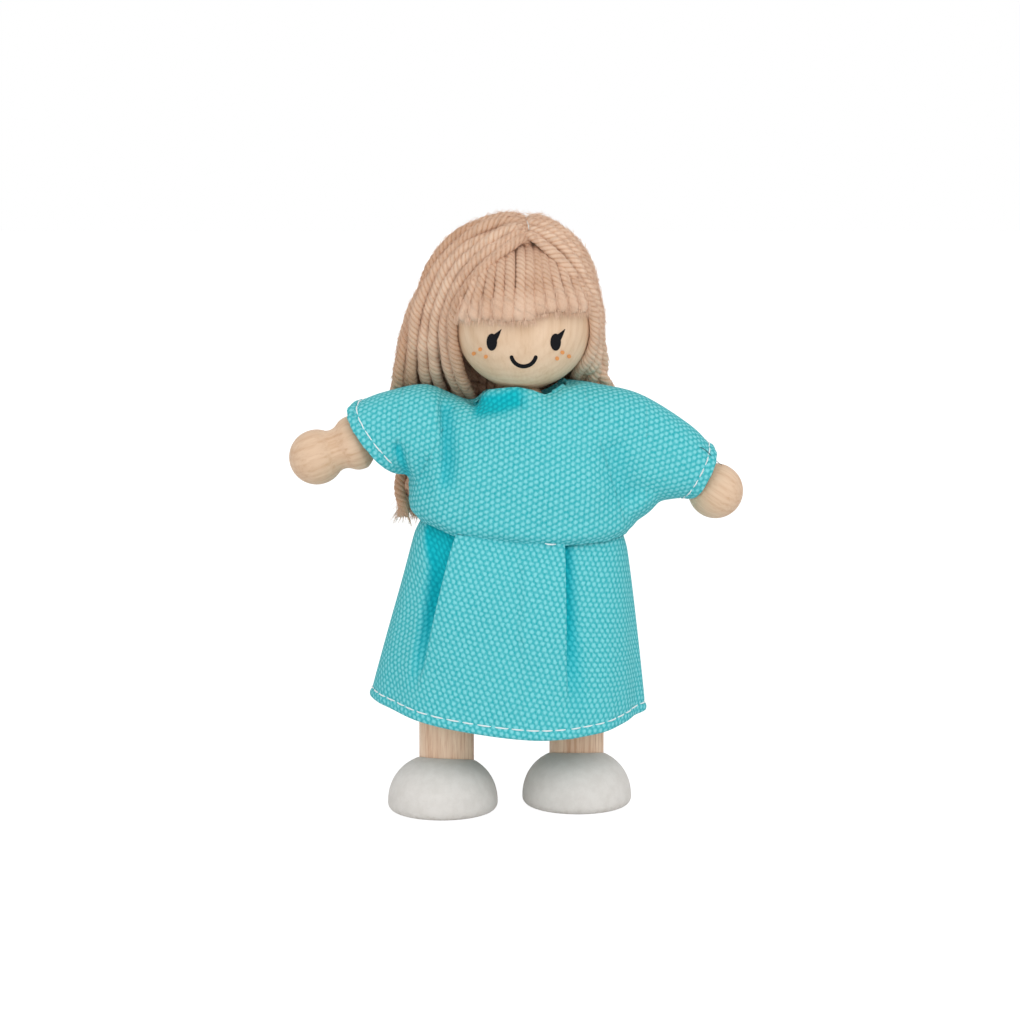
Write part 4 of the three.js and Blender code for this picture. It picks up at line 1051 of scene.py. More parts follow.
# %% Flat pattern
only(top)
bpy.ops.object.mode_set(mode="EDIT")
shape = bmesh.from_edit_mesh(top.data)
front_face = [bool(f.calc_center_median().y / MM < M[1]) for f in shape.faces]
for edge in shape.edges:
    faces = edge.link_faces
    edge.seam = len(faces) == 2 and bool(front_face[faces[0].index]) != bool(front_face[faces[1].index])
bmesh.update_edit_mesh(top.data)
bpy.ops.mesh.select_all(action="SELECT")
bpy.ops.uv.unwrap(method="MINIMUM_STRETCH", iterations=30, margin=0.001)
bpy.ops.object.mode_set(mode="OBJECT")
flat = top.data.uv_layers[0]
flat.name = "cloth"
points = points_of(top)[[loop.vertex_index for loop in top.data.loops]]
uv = np.empty(len(flat.data) * 2)
flat.data.foreach_get("uv", uv)
uv = uv.reshape(-1, 2)


def corners_of(face): return slice(face.loop_start, face.loop_start + face.loop_total)


def flat_area(corners):
    onward = np.roll(corners, -1, 0)
    return abs((corners[:, 0] * onward[:, 1] - corners[:, 1] * onward[:, 0]).sum()) / 2


is_front, at_right = np.zeros(len(uv), bool), np.zeros(len(uv), bool)
face_place, face_flat = np.zeros(len(uv)), np.zeros(len(uv))
for face in top.data.polygons:
    span = corners_of(face)
    is_front[span] = face.center.y / MM < M[1]
    at_right[span] = face.center.x / MM < M[0]
    face_flat[span] = flat_area(uv[span])
    face_place[span] = face.area / MM**2
for part in (is_front, ~is_front & at_right, ~is_front & ~at_right):
    target = points[part][:, [0, 2]]
    source = uv[part] - uv[part].mean(0)
    middle = target.mean(0)
    u, _, vt = np.linalg.svd(source.T @ (target - middle))
    fitted = source @ (u @ vt)
    if part is is_front:
        core = np.abs(points[part][:, 0] - M[0]) < 15
        spread = np.linalg.norm(target[core] - target[core].mean(0))
        spread /= np.linalg.norm(fitted[core] - fitted[core].mean(0))
    else:
        spread = sqrt(face_place[part].sum() / face_flat[part].sum())
    uv[part] = fitted * spread + middle
flat.data.foreach_set("uv", uv.ravel())
print("flat pattern is", [round(float(v), 1) for v in uv[is_front].max(0) - uv[is_front].min(0)], "mm")

# %% Hems turned under
def turn_under(obj, near, depth, out):
    """Folds the boundary that `near` picks to the inside: out is the way past the edge."""
    out = Vector(out)
    with shape_of(obj) as shape:
        shape.normal_update()
        edges = [e for e in shape.edges if e.is_boundary and near((e.verts[0].co + e.verts[1].co) / 2 / MM)]
        inward = {v: -v.normal.copy() for e in edges for v in e.verts}
        for ahead, inside in ((0.12, 0.1), (0.16, 0.3), (0.0, 0.3), (-depth, 0.05)):
            made = bmesh.ops.extrude_edge_only(shape, edges=edges)["geom"]
            carried = {}
            for vertex in [v for v in made if isinstance(v, bmesh.types.BMVert)]:
                direction = next(inward[v] for e in vertex.link_edges for v in e.verts if v in inward)
                vertex.co += out * ahead * MM + direction * inside * MM
                carried[vertex] = direction
            inward = carried
            edges = [e for e in made if isinstance(e, bmesh.types.BMEdge)]


def on_plane(c, point, normal): return abs((np.array(c) - point) @ normal) < 0.05


HEM = STITCH_IN - 0.1
turn_under(top, lambda c: on_plane(c, right_hem, right_hem_way) and c.x < -22, HEM, right_hem_way)
turn_under(top, lambda c: on_plane(c, left_hem, left_hem_way) and c.x > 33, HEM, left_hem_way)
turn_under(top, lambda c: c.z < BELOW_ARMS and (abs(c.x - M[0]) > 0.6 or c.y < M[1]), 0.3, (0, 0, -1))
turn_under(top, lambda c: c.z > COLLAR_LOW + 1 and 0.9 < in_neck(c * MM) < 1.1, 1.6, (0, 0, 1))
top_points = [v.co.copy() for v in top.data.vertices]
top_tree = BVHTree.FromPolygons(top_points, [tuple(p.vertices) for p in top.data.polygons])
print("top with hems", len(top.data.polygons), "faces")

# %% [markdown]
# Each side of the figure has three joints under the top: the shoulder sweeps, the arm lifts and the elbow
# bends. Each half of the top is parted into bodice, sleeve and hem pieces along planes at the shoulder and
# the elbow.

# %% Parting the top
# Each plane's point and way out, and how far the ramp of each piece reaches inwards and outwards of it.
partings = {
    "right": dict(shoulder=((-12.5, 0, 90), (-0.894, 0, 0.447), 7, 5),
                  elbow=((-26.4, 0, 74), (-0.994, 0, 0.111), 8)),
    "left": dict(shoulder=((14.57, 0, 92), (0.955, 0, 0.298), 7, 4.5),
                 elbow=((28, 0, 80), (1, 0, 0), 8)),
}


def walled(obj, cuts):
    """Gives the cloth its thickness. Edges where two parts meet stay sharp, so the meeting doesn't show."""
    modified(obj, "SOLIDIFY", thickness=CLOTH, offset=-1)
    bpy.ops.object.shade_smooth()
    with shape_of(obj) as shape:
        for point, normal in cuts:
            point, normal = Vector(point), Vector(normal)
            for e in shape.edges:
                if all(abs((v.co / MM - point) @ normal) < 0.02 for v in e.verts):
                    e.smooth = False
    return obj


def part_of(name, cuts):
    """A copy of the top kept on the inner side of each (point, normal)."""
    piece = twin(top, name)
    for point, normal in cuts:
        cut_away(piece, point, normal, lambda c: True)
    return walled(piece, cuts)


def turned_round(cut): return (cut[0], tuple(-v for v in cut[1]))


top_pieces = []
for side, sign in (("right", -1), ("left", 1)):
    point, normal, before, after = partings[side]["shoulder"]
    elbow_point, elbow_normal, elbow_after = partings[side]["elbow"]
    centre = (tuple(M), (-sign, 0, 0))
    shoulder_cut, elbow_cut = (point, normal), (elbow_point, elbow_normal)
    bodice_half = part_of(side + "_bodice", [shoulder_cut, centre])
    sleeve = part_of(side + "_sleeve", [turned_round(shoulder_cut), elbow_cut, centre])
    sleeve_end = part_of(side + "_sleeve_end", [turned_round(elbow_cut), centre])
    point, normal, elbow_point, elbow_normal = [Vector(v) for v in shoulder_cut + elbow_cut]
    elbow_end = elbow_point + elbow_normal * elbow_after
    ramps = [
        (bodice_half, "torso", side + "_shoulder", point - normal * before, point),
        (sleeve, side + "_shoulder", side + "_upper_arm", point, point + normal * after),
        (sleeve_end, side + "_upper_arm", side + "_forearm", elbow_point, elbow_end),
    ]
    for obj, near_body, far_body, start, end in ramps:
        coat(obj, top_canvas)
        start * MM
        end * MM
        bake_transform(obj)
        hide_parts("dress_top")
        top_pieces.append(obj)


def declare(obj, layers, **how):
    """Works out and prints the size of a sheet's flat pattern: layers is how often the pattern lies over itself.
    """
    pattern = np.array([tuple(d.uv) for d in obj.data.uv_layers["cloth"].data]) * MM
    area = sum(flat_area(pattern[corners_of(p)]) for p in obj.data.polygons) / 2
    shown = sum(p.area for p in obj.data.polygons) / 2
    pattern *= sqrt(shown / area)
    wide, high = (pattern.max(0) - pattern.min(0)) * (layers, 1)
    size = sqrt(shown / (min(max(shown / (wide * high), 0.5), 0.999) * wide * high))
    wide, high = size * wide, size * high
    print(obj.name, round(shown * 1e4, 2), "cm2 from", round(wide / MM, 1), "by", round(high / MM, 1), "mm")


for obj in top_pieces:
    declare(obj, 2, held="draped", rests_on=["torso_block"])
bpy.data.objects.remove(top)

# %% [markdown]
# The hems are closed with a running stitch in white thread. Each stitch is a short bead of thread whose
# ends dip into the cloth. The points for it are read off the cloth, so the stitches lie on it.

# %% Running stitch
def unit(ways): return ways / np.linalg.norm(ways, axis=-1, keepdims=True)


def run_along(path):
    """The length run at each point of a path."""
    return np.concatenate([[0], np.cumsum(np.linalg.norm(np.diff(path, axis=0), axis=1))])


def read_at(marks, run, values):
    """Values along a path, read at other lengths."""
    return np.stack([np.interp(marks, run, values[:, k]) for k in range(3)], 1)


def tube(path, radii, sides=8):
    """A closed tube through points with a radius at each."""
    path = np.asarray(path, float)
    ahead = unit(np.gradient(path, axis=0))
    across = unit(np.cross(ahead, (0.31, 0.2, 0.93)))
    third = np.cross(ahead, across)
    turn = np.linspace(0, 2 * pi, sides, endpoint=False)
    ring = np.cos(turn)[None, :, None] * across[:, None] + np.sin(turn)[None, :, None] * third[:, None]
    vertices = (path[:, None] + ring * np.asarray(radii, float)[:, None, None]).reshape(-1, 3)
    return vertices, tube_faces(len(path), sides)


def merged(pieces):
    """The vertices and the faces of several pieces as those of one. A piece begins with these two."""
    vertices, faces, base = [], [], 0
    for piece in pieces:
        vertices.append(piece[0])
        faces += [[i + base for i in face] for face in piece[1]]
        base += len(piece[0])
    return np.vstack(vertices), faces


def joined(name, pieces, material):
    """One object from (vertices, faces) pairs in millimetres."""
    vertices, faces = merged(pieces)
    obj = mesh_object(name, vertices * MM, faces)
    face_outwards(obj)
    bpy.ops.object.shade_smooth()
    obj.data.materials.append(material)
    return obj


def stitches(path, out, long, gap, thick, start=0.0):
    """Stitches along a path; out is the way off the cloth at each of its points."""
    path, out = np.asarray(path, float), np.asarray(out, float)
    run = run_along(path)
    made, place = [], start
    while place + long < run[-1]:
        length = long * chance.uniform(0.82, 1.12)
        marks = np.linspace(place, min(place + length, run[-1]), 9)
        line, off = read_at(marks, run, path), read_at(marks, run, out)
        share = np.linspace(0, 1, 9)
        height = thick * (-0.5 + 1.45 * np.clip(np.sin(pi * share), 0, 1) ** 0.45)
        made.append(tube(line + off * height[:, None], thick * (0.55 + 0.45 * np.sin(pi * share) ** 0.5)))
        place += length + gap * chance.uniform(0.7, 1.3)
    return made


def round_sleeve(hem, hem_way, first, inner_x):
    """Points and outward ways round a sleeve, along the stitching of its hem, from the first angle on.
    Where the sleeve opens into the bodice, nearer to the middle than inner_x, there is no hem to sew."""
    forward = Vector(hem_way).normalized()
    centre = Vector(hem) - forward * STITCH_IN
    side_way = forward.cross(Vector((0, 1, 0))).normalized()
    points, ways = [], []
    for i in range(181):
        angle = 2 * pi * i / 180 + first
        ray = side_way * cos(angle) + forward.cross(side_way) * sin(angle)
        place, normal, _, _ = top_tree.ray_cast((centre + ray * 14) * MM, -ray)
        if place is not None and abs(place.x / MM) > inner_x:
            points.append(np.array(place) / MM)
            ways.append(np.array(normal if normal.dot(ray) > 0 else -normal))
    return points, ways


chance = random.Random(7)
right_round = round_sleeve(right_hem, right_hem_way, 0, 26.4)
right_thread = joined("right_sleeve_stitches", stitches(*right_round, 3.4, 0.25, 0.16), thread)
left_round = round_sleeve(left_hem, left_hem_way, -pi / 2, 20)
left_thread = joined("left_sleeve_stitches", stitches(*left_round, 2.5, 0.7, 0.16), thread)


def follow_elbow(obj, side):
    """Puts the place of thread at the hem of a sleeve into its mesh."""
    point, normal, reach = partings[side]["elbow"]
    (Vector(point) + Vector(normal) * reach) * MM
    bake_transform(obj)


follow_elbow(right_thread, "right")
follow_elbow(left_thread, "left")
print("sleeve stitches", len(right_thread.data.polygons), len(left_thread.data.polygons))

# %% [markdown]
# ## Skirt
# The skirt is a flared band of canvas in two box folds: the front panel stands out between two pleats that
# are sewn down at the waist and fall open towards the hem. It is drawn as rings from the waist to the hem,
# with each pleat's fold as real points, then turned up inside at the hem.

# %% Rings of the skirt
PANEL, REST, FOLD = 64, 210, 6
SEAM = M[2] + WAIST - 0.3


def skirt_line(angle, fall):
    """The skirt without its pleats at an angle, 0 at the waist and 1 at the hem."""
    c, s = np.cos(angle), np.sin(angle)
    fall = np.asarray(fall, float)
    wide = np.where(c < 0, 22.0, 22.4)
    waist = np.stack([wide * signed_power(c, 0.76), 12.3 * signed_power(s, 0.76), 0 * c], -1)
    hem = np.stack([np.where(c < 0, 32.8, 26.6) * c, np.where(s < 0, 22.0, 20.0) * s, 0 * c], -1)
    share = np.clip(fall, 0, 1)[..., None] ** np.where(c < 0, 0.88, 0.76)[..., None]
    point = waist + (hem - waist) * share
    top_height = SEAM - waist[..., 0] * TILT
    low_height = SEAM - 42.2 + np.where(c < 0.3, 3.4, 5.3) * (c - 0.3) ** 2 + 2 * np.maximum(s, 0)
    point[..., 2] = top_height + (low_height - top_height) * fall
    return point + np.array((M[0], M[1], 0))


def front_angle(x, fall):
    """The angle at which the front of the skirt is at x, found by halving."""
    low, high = pi, 2 * pi
    for _ in range(30):
        middle = (low + high) / 2
        if skirt_line(np.array(middle), fall)[0] < x + M[0]:
            low = middle
        else:
            high = middle
    return low


def outwards(angle):
    return unit(np.stack([np.cos(angle) / 22.3, np.sin(angle) / 12.6, 0 * angle], -1))


def smooth_step(value, start, end):
    t = np.clip((value - start) / (end - start), 0, 1)
    return t * t * (3 - 2 * t)


def skirt_ring(fall, inset):
    """One ring and the painted shade along it: front panel, left fold, the rest of the way round, right fold."""
    open_left, open_right = 1 - smooth_step(fall, 0.35, 0.85), 1 - smooth_step(fall, 0.35, 0.95)
    left, right = -13.6 - 9.4 * fall, 9.0 + 0.5 * fall
    panel = np.linspace(front_angle(left, fall), front_angle(right, fall), PANEL)
    start = front_angle(right + 0.9 - 1.4 * open_right, fall)
    end = 2 * pi + front_angle(left - 0.9 + 1.4 * open_left, fall)
    rest = np.linspace(start, end, REST)
    share = (rest - start) / (end - start)
    sides = np.linspace(0, 1, PANEL)
    rise = 1.5 * open_left * (1 - smooth_step(sides, 0, 0.75)) + 1.2 * open_right * smooth_step(sides, 0.25, 1)
    rise = rise + 0.7 + 0.35 * fall * np.sin(sides * 3 * pi + 0.6)
    wave = 0.75 * fall * np.sin(pi * share) ** 0.5 * np.cos(9 * rest + 1)
    wave += 0.5 * fall**2 * np.sin(pi * share) * np.cos(17 * rest + 2.2)
    step = 0.43 + 0.25 * fall
    beside_left, beside_right = (1 - share) * REST * step, share * REST * step
    broad = np.interp(fall, (0, 0.04, 0.2, 0.45, 0.7, 1), (10.4, 9.8, 5.6, 4.2, 2.4, 0.6))
    deep = np.interp(fall, (0, 0.12, 0.3), (1.1, 1.6, 3.0))
    recess = deep * open_left**0.7 * (1 - smooth_step(beside_left, 0.7 * broad, broad + 1.4))
    hollow = 1.0 * open_right * (1 - smooth_step(beside_right, 0.4, 2.2 + 4 * fall))
    level = 0.7 * smooth_step(fall, 0.3, 1) * np.maximum(np.exp(-beside_left / 6), np.exp(-beside_right / 6))
    swell = 0.8 * sin(pi * min(max(fall, 0), 1)) * np.exp(-(((share - 0.13) / 0.05) ** 2))
    front = skirt_line(panel, fall) + outwards(panel) * (rise - inset)[:, None]
    back = skirt_line(rest, fall) + outwards(rest) * (wave + swell + level - recess - hollow - inset)[:, None]
    # Deep blue painted shade in the recess beside each pleat, widest where the pleat stands open.
    painted_shade_left = open_left**0.5 * (1 - smooth_step(beside_left, broad - 0.3, broad + 1.2))
    painted_shade_right = open_right**0.7 * (1 - smooth_step(beside_right, 0.8 + fall, 2.8 + 3.8 * fall))

    def fold(a, b, tangent, overlap):
        ts = (np.arange(FOLD) + 1) / (FOLD + 1)
        bend = a[None] + (b - a)[None] * (0.5 - 0.5 * np.cos(pi * ts))[:, None]
        return bend + tangent[None] * (overlap * np.sin(pi * ts))[:, None]

    over_left = fold(front[-1], back[0], unit(front[-1] - front[-2]), 0.3 * open_right)
    over_right = fold(back[-1], front[0], unit(front[0] - front[1]), 0.45 * open_left)
    # Painted shade inside the folds themselves, while they stand open.
    painted_shade_sides = np.full(FOLD, 0.6 * open_right), np.full(FOLD, 0.7 * open_left)
    depth = np.concatenate([np.zeros(PANEL), painted_shade_sides[0], np.maximum(painted_shade_left, painted_shade_right), painted_shade_sides[1]])
    return np.vstack([front, over_left, back, over_right]), depth


marks = np.linspace(0, 1, 90)
falls = [-0.022, -0.012] + list(marks)
insets = [0.9, 0.6] + list(0.3 * (1 - np.clip(marks * 12, 0, 1)))
STITCH_ROW = 0.955
puffs = [0.28 * max(0, 1 - ((f - 0.982) / 0.022) ** 2) - 0.18 * exp(-(((f - STITCH_ROW) / 0.008) ** 2))
         for f in falls]
rows = [skirt_ring(f, i - p) for f, i, p in zip(falls, insets, puffs)]
turned_up = ((0.004, 0.1), (0.006, 0.32), (0.004, 0.56), (-0.001, 0.66), (-0.04, 0.72))
rows += [skirt_ring(1.0 + d, i) for d, i in turned_up]
skirt_grid = np.array([points for points, _ in rows])
skirt_painted_shade = np.array([depth for _, depth in rows])
skirt_grid[..., 2] += slip(skirt_grid)
print("skirt grid", skirt_grid.shape)

# %% Two halves of the skirt
FIRST_COLUMN, BACK = 30, PANEL + FOLD
ring_count = skirt_grid.shape[1]
steps_along = np.linalg.norm(np.roll(skirt_grid, -1, 1) - skirt_grid, axis=2)
arc = np.concatenate([np.zeros((len(rows), 1)), np.cumsum(steps_along, 1)], 1)
arc_turn = arc[:, -1].copy()
arc -= arc[:, [FIRST_COLUMN]]
drop = run_along(skirt_grid[:, FIRST_COLUMN])
behind = skirt_grid[30, BACK:BACK + REST]
back_middle = BACK + int(np.argmin(np.abs(behind[:, 0] - M[0]) + 99 * (behind[:, 1] < M[1])))
left_fold = BACK - 1
grid_ways = np.cross(np.gradient(skirt_grid, axis=1), (0, 0, 1))
grid_ways /= np.maximum(np.linalg.norm(grid_ways, axis=2, keepdims=True), 1e-9)
UNDER, DEEP = 16, 1.3
lap_width = np.linalg.norm(skirt_grid[40, PANEL - 1] - skirt_grid[40, PANEL - UNDER])
print("the lap under the panel is", round(float(lap_width), 1), "mm")


def cloth_grid(name, columns, sunk):
    """A strip of the skirt made of some of its columns, each sunk by some depth, with its flat pattern."""
    count, height = len(columns), len(rows)
    index = [c % ring_count for c in columns]
    deeper = np.interp(np.arange(height), (0, 10, 36), (0.55, 0.8, 1.0))[:, None] * np.array(sunk)[None]
    places = skirt_grid[:, index] - grid_ways[:, index] * deeper[..., None]
    vertices = places.reshape(-1, 3)
    faces = [[r * count + c, (r + 1) * count + c, (r + 1) * count + c + 1, r * count + c + 1]
             for r in range(height - 1) for c in range(count - 1)]
    obj = mesh_object(name, vertices * MM, faces)
    layer = obj.data.uv_layers.new(name="cloth")
    turns = columns[-1] // ring_count
    for loop in obj.data.loops:
        r, c = divmod(loop.vertex_index, count)
        lap, column = divmod(columns[c], ring_count)
        layer.data[loop.index].uv = (arc[r, column] + arc_turn[r] * (lap - turns), -drop[r])
    # fold carries the painted shade of the rings into the cloth.
    painted_shade_store = obj.data.attributes.new("fold", "FLOAT", "POINT")
    painted_shade_store.data.foreach_set("value", skirt_painted_shade[:, index].ravel().astype(np.float32))
    return obj


def follow_leg(obj, side):
    """Puts the place of one half of the skirt, or of its stitches, into its mesh."""
    side + "_hip"
    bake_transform(obj)


half_columns = {
    "right": list(range(back_middle, ring_count + left_fold + 1)),
    "left": list(range(left_fold, back_middle + 1)),
}
laps = {
    "right": ([], []),
    "left": (list(range(PANEL - UNDER, PANEL)), list(range(back_middle + 1, back_middle + UNDER // 2 + 1))),
}
for side, columns in half_columns.items():
    before, after = laps[side]
    sunk = [DEEP] * len(before) + [0] * len(columns) + [DEEP * min(1, (i + 1) / 2) for i in range(len(after))]
    half = walled(cloth_grid(side + "_skirt", before + columns + after, sunk), [])
    with shape_of(half) as shape:
        for e in shape.edges:
            if len(e.link_faces) == 2 and e.calc_face_angle(0) > radians(60):
                e.smooth = False
    coat(half, skirt_canvas)
    follow_leg(half, side)
    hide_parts("dress_skirt")
    declare(half, 1, held="hung", rests_on=["torso_block"])

# %% Stitches round the hem
stitch_row, _ = skirt_ring(STITCH_ROW, 0.12)
stitch_row[:, 2] += slip(stitch_row)
ways = unit(np.cross(np.gradient(stitch_row, axis=0), (0, 0, 1)))
for side, columns in half_columns.items():
    index = [c % ring_count for c in columns]
    made = stitches(stitch_row[index], ways[index], 2.75, 0.75, 0.17, start=chance.uniform(0.2, 1.5))
    follow_leg(joined(side + "_hem_stitches", made, thread), side)

# %% Two loose ends
seam_pixels = (545, 543.2), (548, 544), (552, 544.3), (556, 544)
seam_path = [(x, -12.3, z) for x, z in (seen_at(px, py, -11.9) for px, py in seam_pixels)]
seam_bit = joined("waist_stitch", [tube(seam_path, [0.1, 0.17, 0.17, 0.1])], thread)
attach(seam_bit, "torso")
loose_pixels = (706, 440), (710, 442), (715, 447), (720, 453), (724, 457.5), (727, 460)
loose_points = [seen_at(px, py, -4) for px, py in loose_pixels]
loose_path = spline([(x, -6.5 + 0.3 * i, z) for i, (x, z) in enumerate(loose_points)], np.linspace(0, 1, 24))
on_cloth = np.array(top_tree.find_nearest(Vector(loose_path[0]) * MM)[0]) / MM
loose_path += (on_cloth - loose_path[0]) * (1 - np.linspace(0, 1, 24)[:, None] * 0.25)
loose_end = joined("loose_thread", [tube(loose_path, [0.07] * 24, 6)], thread_end)
follow_elbow(loose_end, "left")

# %% [markdown]
# ## Yarn
# The wig is loosely twisted yarn, four plies thick, laid across the head and sewn down along the parting.
# Each strand is a rope: a section with four lobes that turns as it runs. Its path comes from a few guide
# strands, and the strands then push each other, the head and the dress apart until they lie side by side.

# %% Yarn finish
yarn = Finish("wool_yarn", Roughness=0.95, Specular_IOR_Level=0.1, Sheen_Weight=0.12)
crest = yarn.node("ShaderNodeAttribute", {"attribute_name": "crest"}, output="Fac")
shade = yarn.node("ShaderNodeAttribute", {"attribute_name": "shade"}, output="Fac")
fibre_map = yarn.node("ShaderNodeUVMap", {"uv_map": "yarn"})
fibres = yarn.noise(yarn.scaled(fibre_map, (7, 1.4, 1)), 1, 3, 0.75)
fine = yarn.noise(yarn.scaled(fibre_map, (16, 2.6, 1)), 1, 2, 0.7)
slow = yarn.noise(yarn.place(), 130, 2, 0.5)
# shade is each strand's tone; on the side hair it also carries painted light, paler on the figure's left.
tone_and_painted_light = shade * 1.1 + slow * 1.2 - 0.7
# The colour follows the crest: deeper and more orange in the grooves between plies and paler on their tops. This
# is painted shade in the grooves and painted light on the crests.
valley = yarn.mix(tone_and_painted_light, linear(194, 138, 100), linear(226, 178, 138))
ridge = yarn.mix(tone_and_painted_light, linear(220, 176, 144), linear(250, 218, 192))
colour = yarn.mix(yarn.step(crest + (fibres - 0.5) * 1.7, -0.3, 0.95), valley, ridge)
colour = yarn.mix(yarn.step(fine, 0.5, 0.72) * 0.75, colour, linear(250, 224, 202))
colour = yarn.mix(yarn.step(fibres, 0.55, 0.75) * 0.5, colour, linear(182, 126, 92))
yarn.to("Base Color", colour)
yarn.to("Normal", yarn.bump(fibres * 0.6 + fine * 0.4, 0.00034, 0.9))
print("yarn finish nodes", len(yarn.tree.nodes))

# %% Rope from a path
YARN_R, PLIES, PITCH, SIDES, LOBE = 1.26, 4, 4.9, 16, 0.42


def even(path, gap):
    """The same path with its points at an even gap."""
    path = np.asarray(path, float)
    run = run_along(path)
    count = max(int(round(run[-1] / gap)), 4)
    return read_at(np.linspace(0, run[-1], count + 1), run, path)


def smooth(path, rounds):
    for _ in range(rounds):
        path[1:-1] += 0.5 * ((path[:-2] + path[2:]) / 2 - path[1:-1])
    return path


def rope(path, radius, phase, tone, flat=None, start_turn=0.0):
    """Vertices, faces, flat pattern, crest and shade of a twisted strand along evenly spaced points."""
    ahead = unit(np.gradient(path, axis=0))
    frames = [np.cross(ahead[0], (0.3, 1.0, 0.2))]
    for tangent in ahead:
        frames.append(unit(frames[-1] - tangent * (frames[-1] @ tangent)))
    across = np.array(frames[1:])
    third = np.cross(ahead, across)
    run = run_along(path)
    twist = -(run + start_turn) * 2 * pi / PITCH + phase
    column = np.arange(SIDES) * 2 * pi / SIDES
    lobe = (column + pi / PLIES) % (2 * pi / PLIES) - pi / PLIES
    section = 0.54 * np.cos(lobe) + np.sqrt(0.46**2 - (0.54 * np.sin(lobe)) ** 2)
    # crest is 0 in the grooves between plies and 1 on their tops; the finish paints shade in the grooves and light
    # on the tops from it.
    crest_line = (section - section.min()) / (section.max() - section.min())
    section = 1 - LOBE * (1 - section)
    depth = np.ones(len(path)) if flat is None else flat
    size = section[None] * depth[:, None] + 0.9 * (1 - depth[:, None])
    angle = column[None] + twist[:, None]
    size = size * np.broadcast_to(radius, len(path))[:, None]
    ring = (np.cos(angle) * size)[..., None] * across[:, None] + (np.sin(angle) * size)[..., None] * third[:, None]
    vertices = (path[:, None] + ring).reshape(-1, 3)
    u = (column[None] + twist[:, None]) / (2 * pi) * 7.5
    v = np.broadcast_to(run[:, None], u.shape)
    pattern = np.stack([u + phase * 3, v + tone * 50], -1).reshape(-1, 2)
    crests = (crest_line[None] * depth[:, None] + 0.75 * (1 - depth[:, None])).reshape(-1)
    return vertices, tube_faces(len(path), SIDES), pattern, crests, np.full(len(vertices), tone)


def yarn_object(name, ropes):
    """Joins ropes into one mesh with the yarn's flat pattern and attributes."""
    vertices, faces = merged(ropes)
    obj = mesh_object(name, vertices * MM, faces)
    mesh = obj.data
    corners = np.empty(len(mesh.loops), int)
    mesh.loops.foreach_get("vertex_index", corners)
    layer = mesh.uv_layers.new(name="yarn")
    layer.data.foreach_set("uv", np.vstack([one[2] for one in ropes])[corners].ravel())
    for label, place in (("crest", 3), ("shade", 4)):
        attribute = mesh.attributes.new(label, "FLOAT", "POINT")
        attribute.data.foreach_set("value", np.concatenate([one[place] for one in ropes]).astype(np.float32))
    mesh.polygons.foreach_set("use_smooth", np.array([len(f) < 5 for f in faces]))
    mesh.materials.append(yarn.material)
    return obj


print("a strand has", SIDES, "points round it")

# %% Guide strands
C = np.array(head_centre) / MM
right_guides = [
    [(0.10, -0.30, 0.96), (-0.02, -0.45, 1.22), (-0.45, -0.66, 0.86), (-0.8, -0.6, 0.44), (-1.0, -0.4, -0.15),
     (-0.9, -0.1, -0.75), (-0.6, 0.42, -1.3), (-0.62, 0.95, -1.95), (-0.7, 1.06, -2.83)],
    [(0.05, -0.06, 1.26), (-0.02, -0.08, 1.44), (-0.62, -0.06, 1.40), (-1.12, 0, 1.06), (-1.47, 0.06, 0.42),
     (-1.68, 0.16, -0.3), (-1.76, 0.4, -0.95), (-1.6, 0.86, -1.85), (-1.74, 0.86, -2.86)],
    [(0.04, 0.40, 1.15), (0, 0.47, 1.33), (-0.5, 0.78, 1.12), (-0.95, 0.9, 0.55), (-1.15, 0.95, -0.25),
     (-1.15, 1.02, -1), (-1.12, 1.1, -1.7), (-1.1, 1.1, -2.3), (-1.12, 1.08, -2.93)],
    [(0.02, 0.72, 0.80), (0.02, 0.85, 0.93), (0.03, 1.02, 0.65), (0.03, 1.14, 0.1), (0.03, 1.18, -0.6),
     (0.03, 1.17, -1.2), (0.03, 1.13, -1.9), (0.02, 1.12, -2.4), (0.02, 1.1, -2.93)],
]
left_guides = [
    [(-0.04, -0.30, 0.96), (0.08, -0.45, 1.22), (0.36, -0.66, 0.94), (0.74, -0.62, 0.5), (0.98, -0.42, -0.05),
     (0.96, -0.02, -0.62), (0.88, 0.5, -0.98), (0.82, 1, -1.45), (0.8, 1.08, -2)],
    [(0.01, -0.06, 1.26), (0.08, -0.08, 1.44), (0.5, -0.05, 1.36), (0.9, 0, 0.88), (1.05, 0.04, 0.14),
     (1.0, 0.14, -0.45), (1.04, 0.5, -0.95), (1.08, 1, -1.5), (1.02, 1.06, -2.3)],
    [(0.02, 0.40, 1.15), (0.06, 0.47, 1.33), (0.5, 0.76, 1.1), (0.84, 0.86, 0.55), (0.98, 0.95, -0.25),
     (0.97, 1.02, -1), (0.95, 1.1, -1.7), (0.94, 1.1, -2.3), (0.92, 1.08, -2.93)],
    [(0.03, 0.72, 0.80), (0.03, 0.85, 0.93), (0.01, 1.02, 0.65), (0.01, 1.14, 0.1), (0.01, 1.18, -0.6),
     (0.01, 1.17, -1.2), (0.01, 1.13, -1.9), (0.02, 1.12, -2.4), (0.02, 1.1, -2.93)],
]


def strand_between(guides, share, drift):
    """A strand between the guides, at a share of the way from front to back that drifts as it falls."""
    marks = np.linspace(0, 1, 60)
    curves = np.array([spline(g, marks) for g in guides])
    shares = np.clip(share + drift * (marks - 0.4), 0, 1)
    return np.array([spline(curves[:, i], [s])[0] for i, s in enumerate(shares)]) * 15 + C


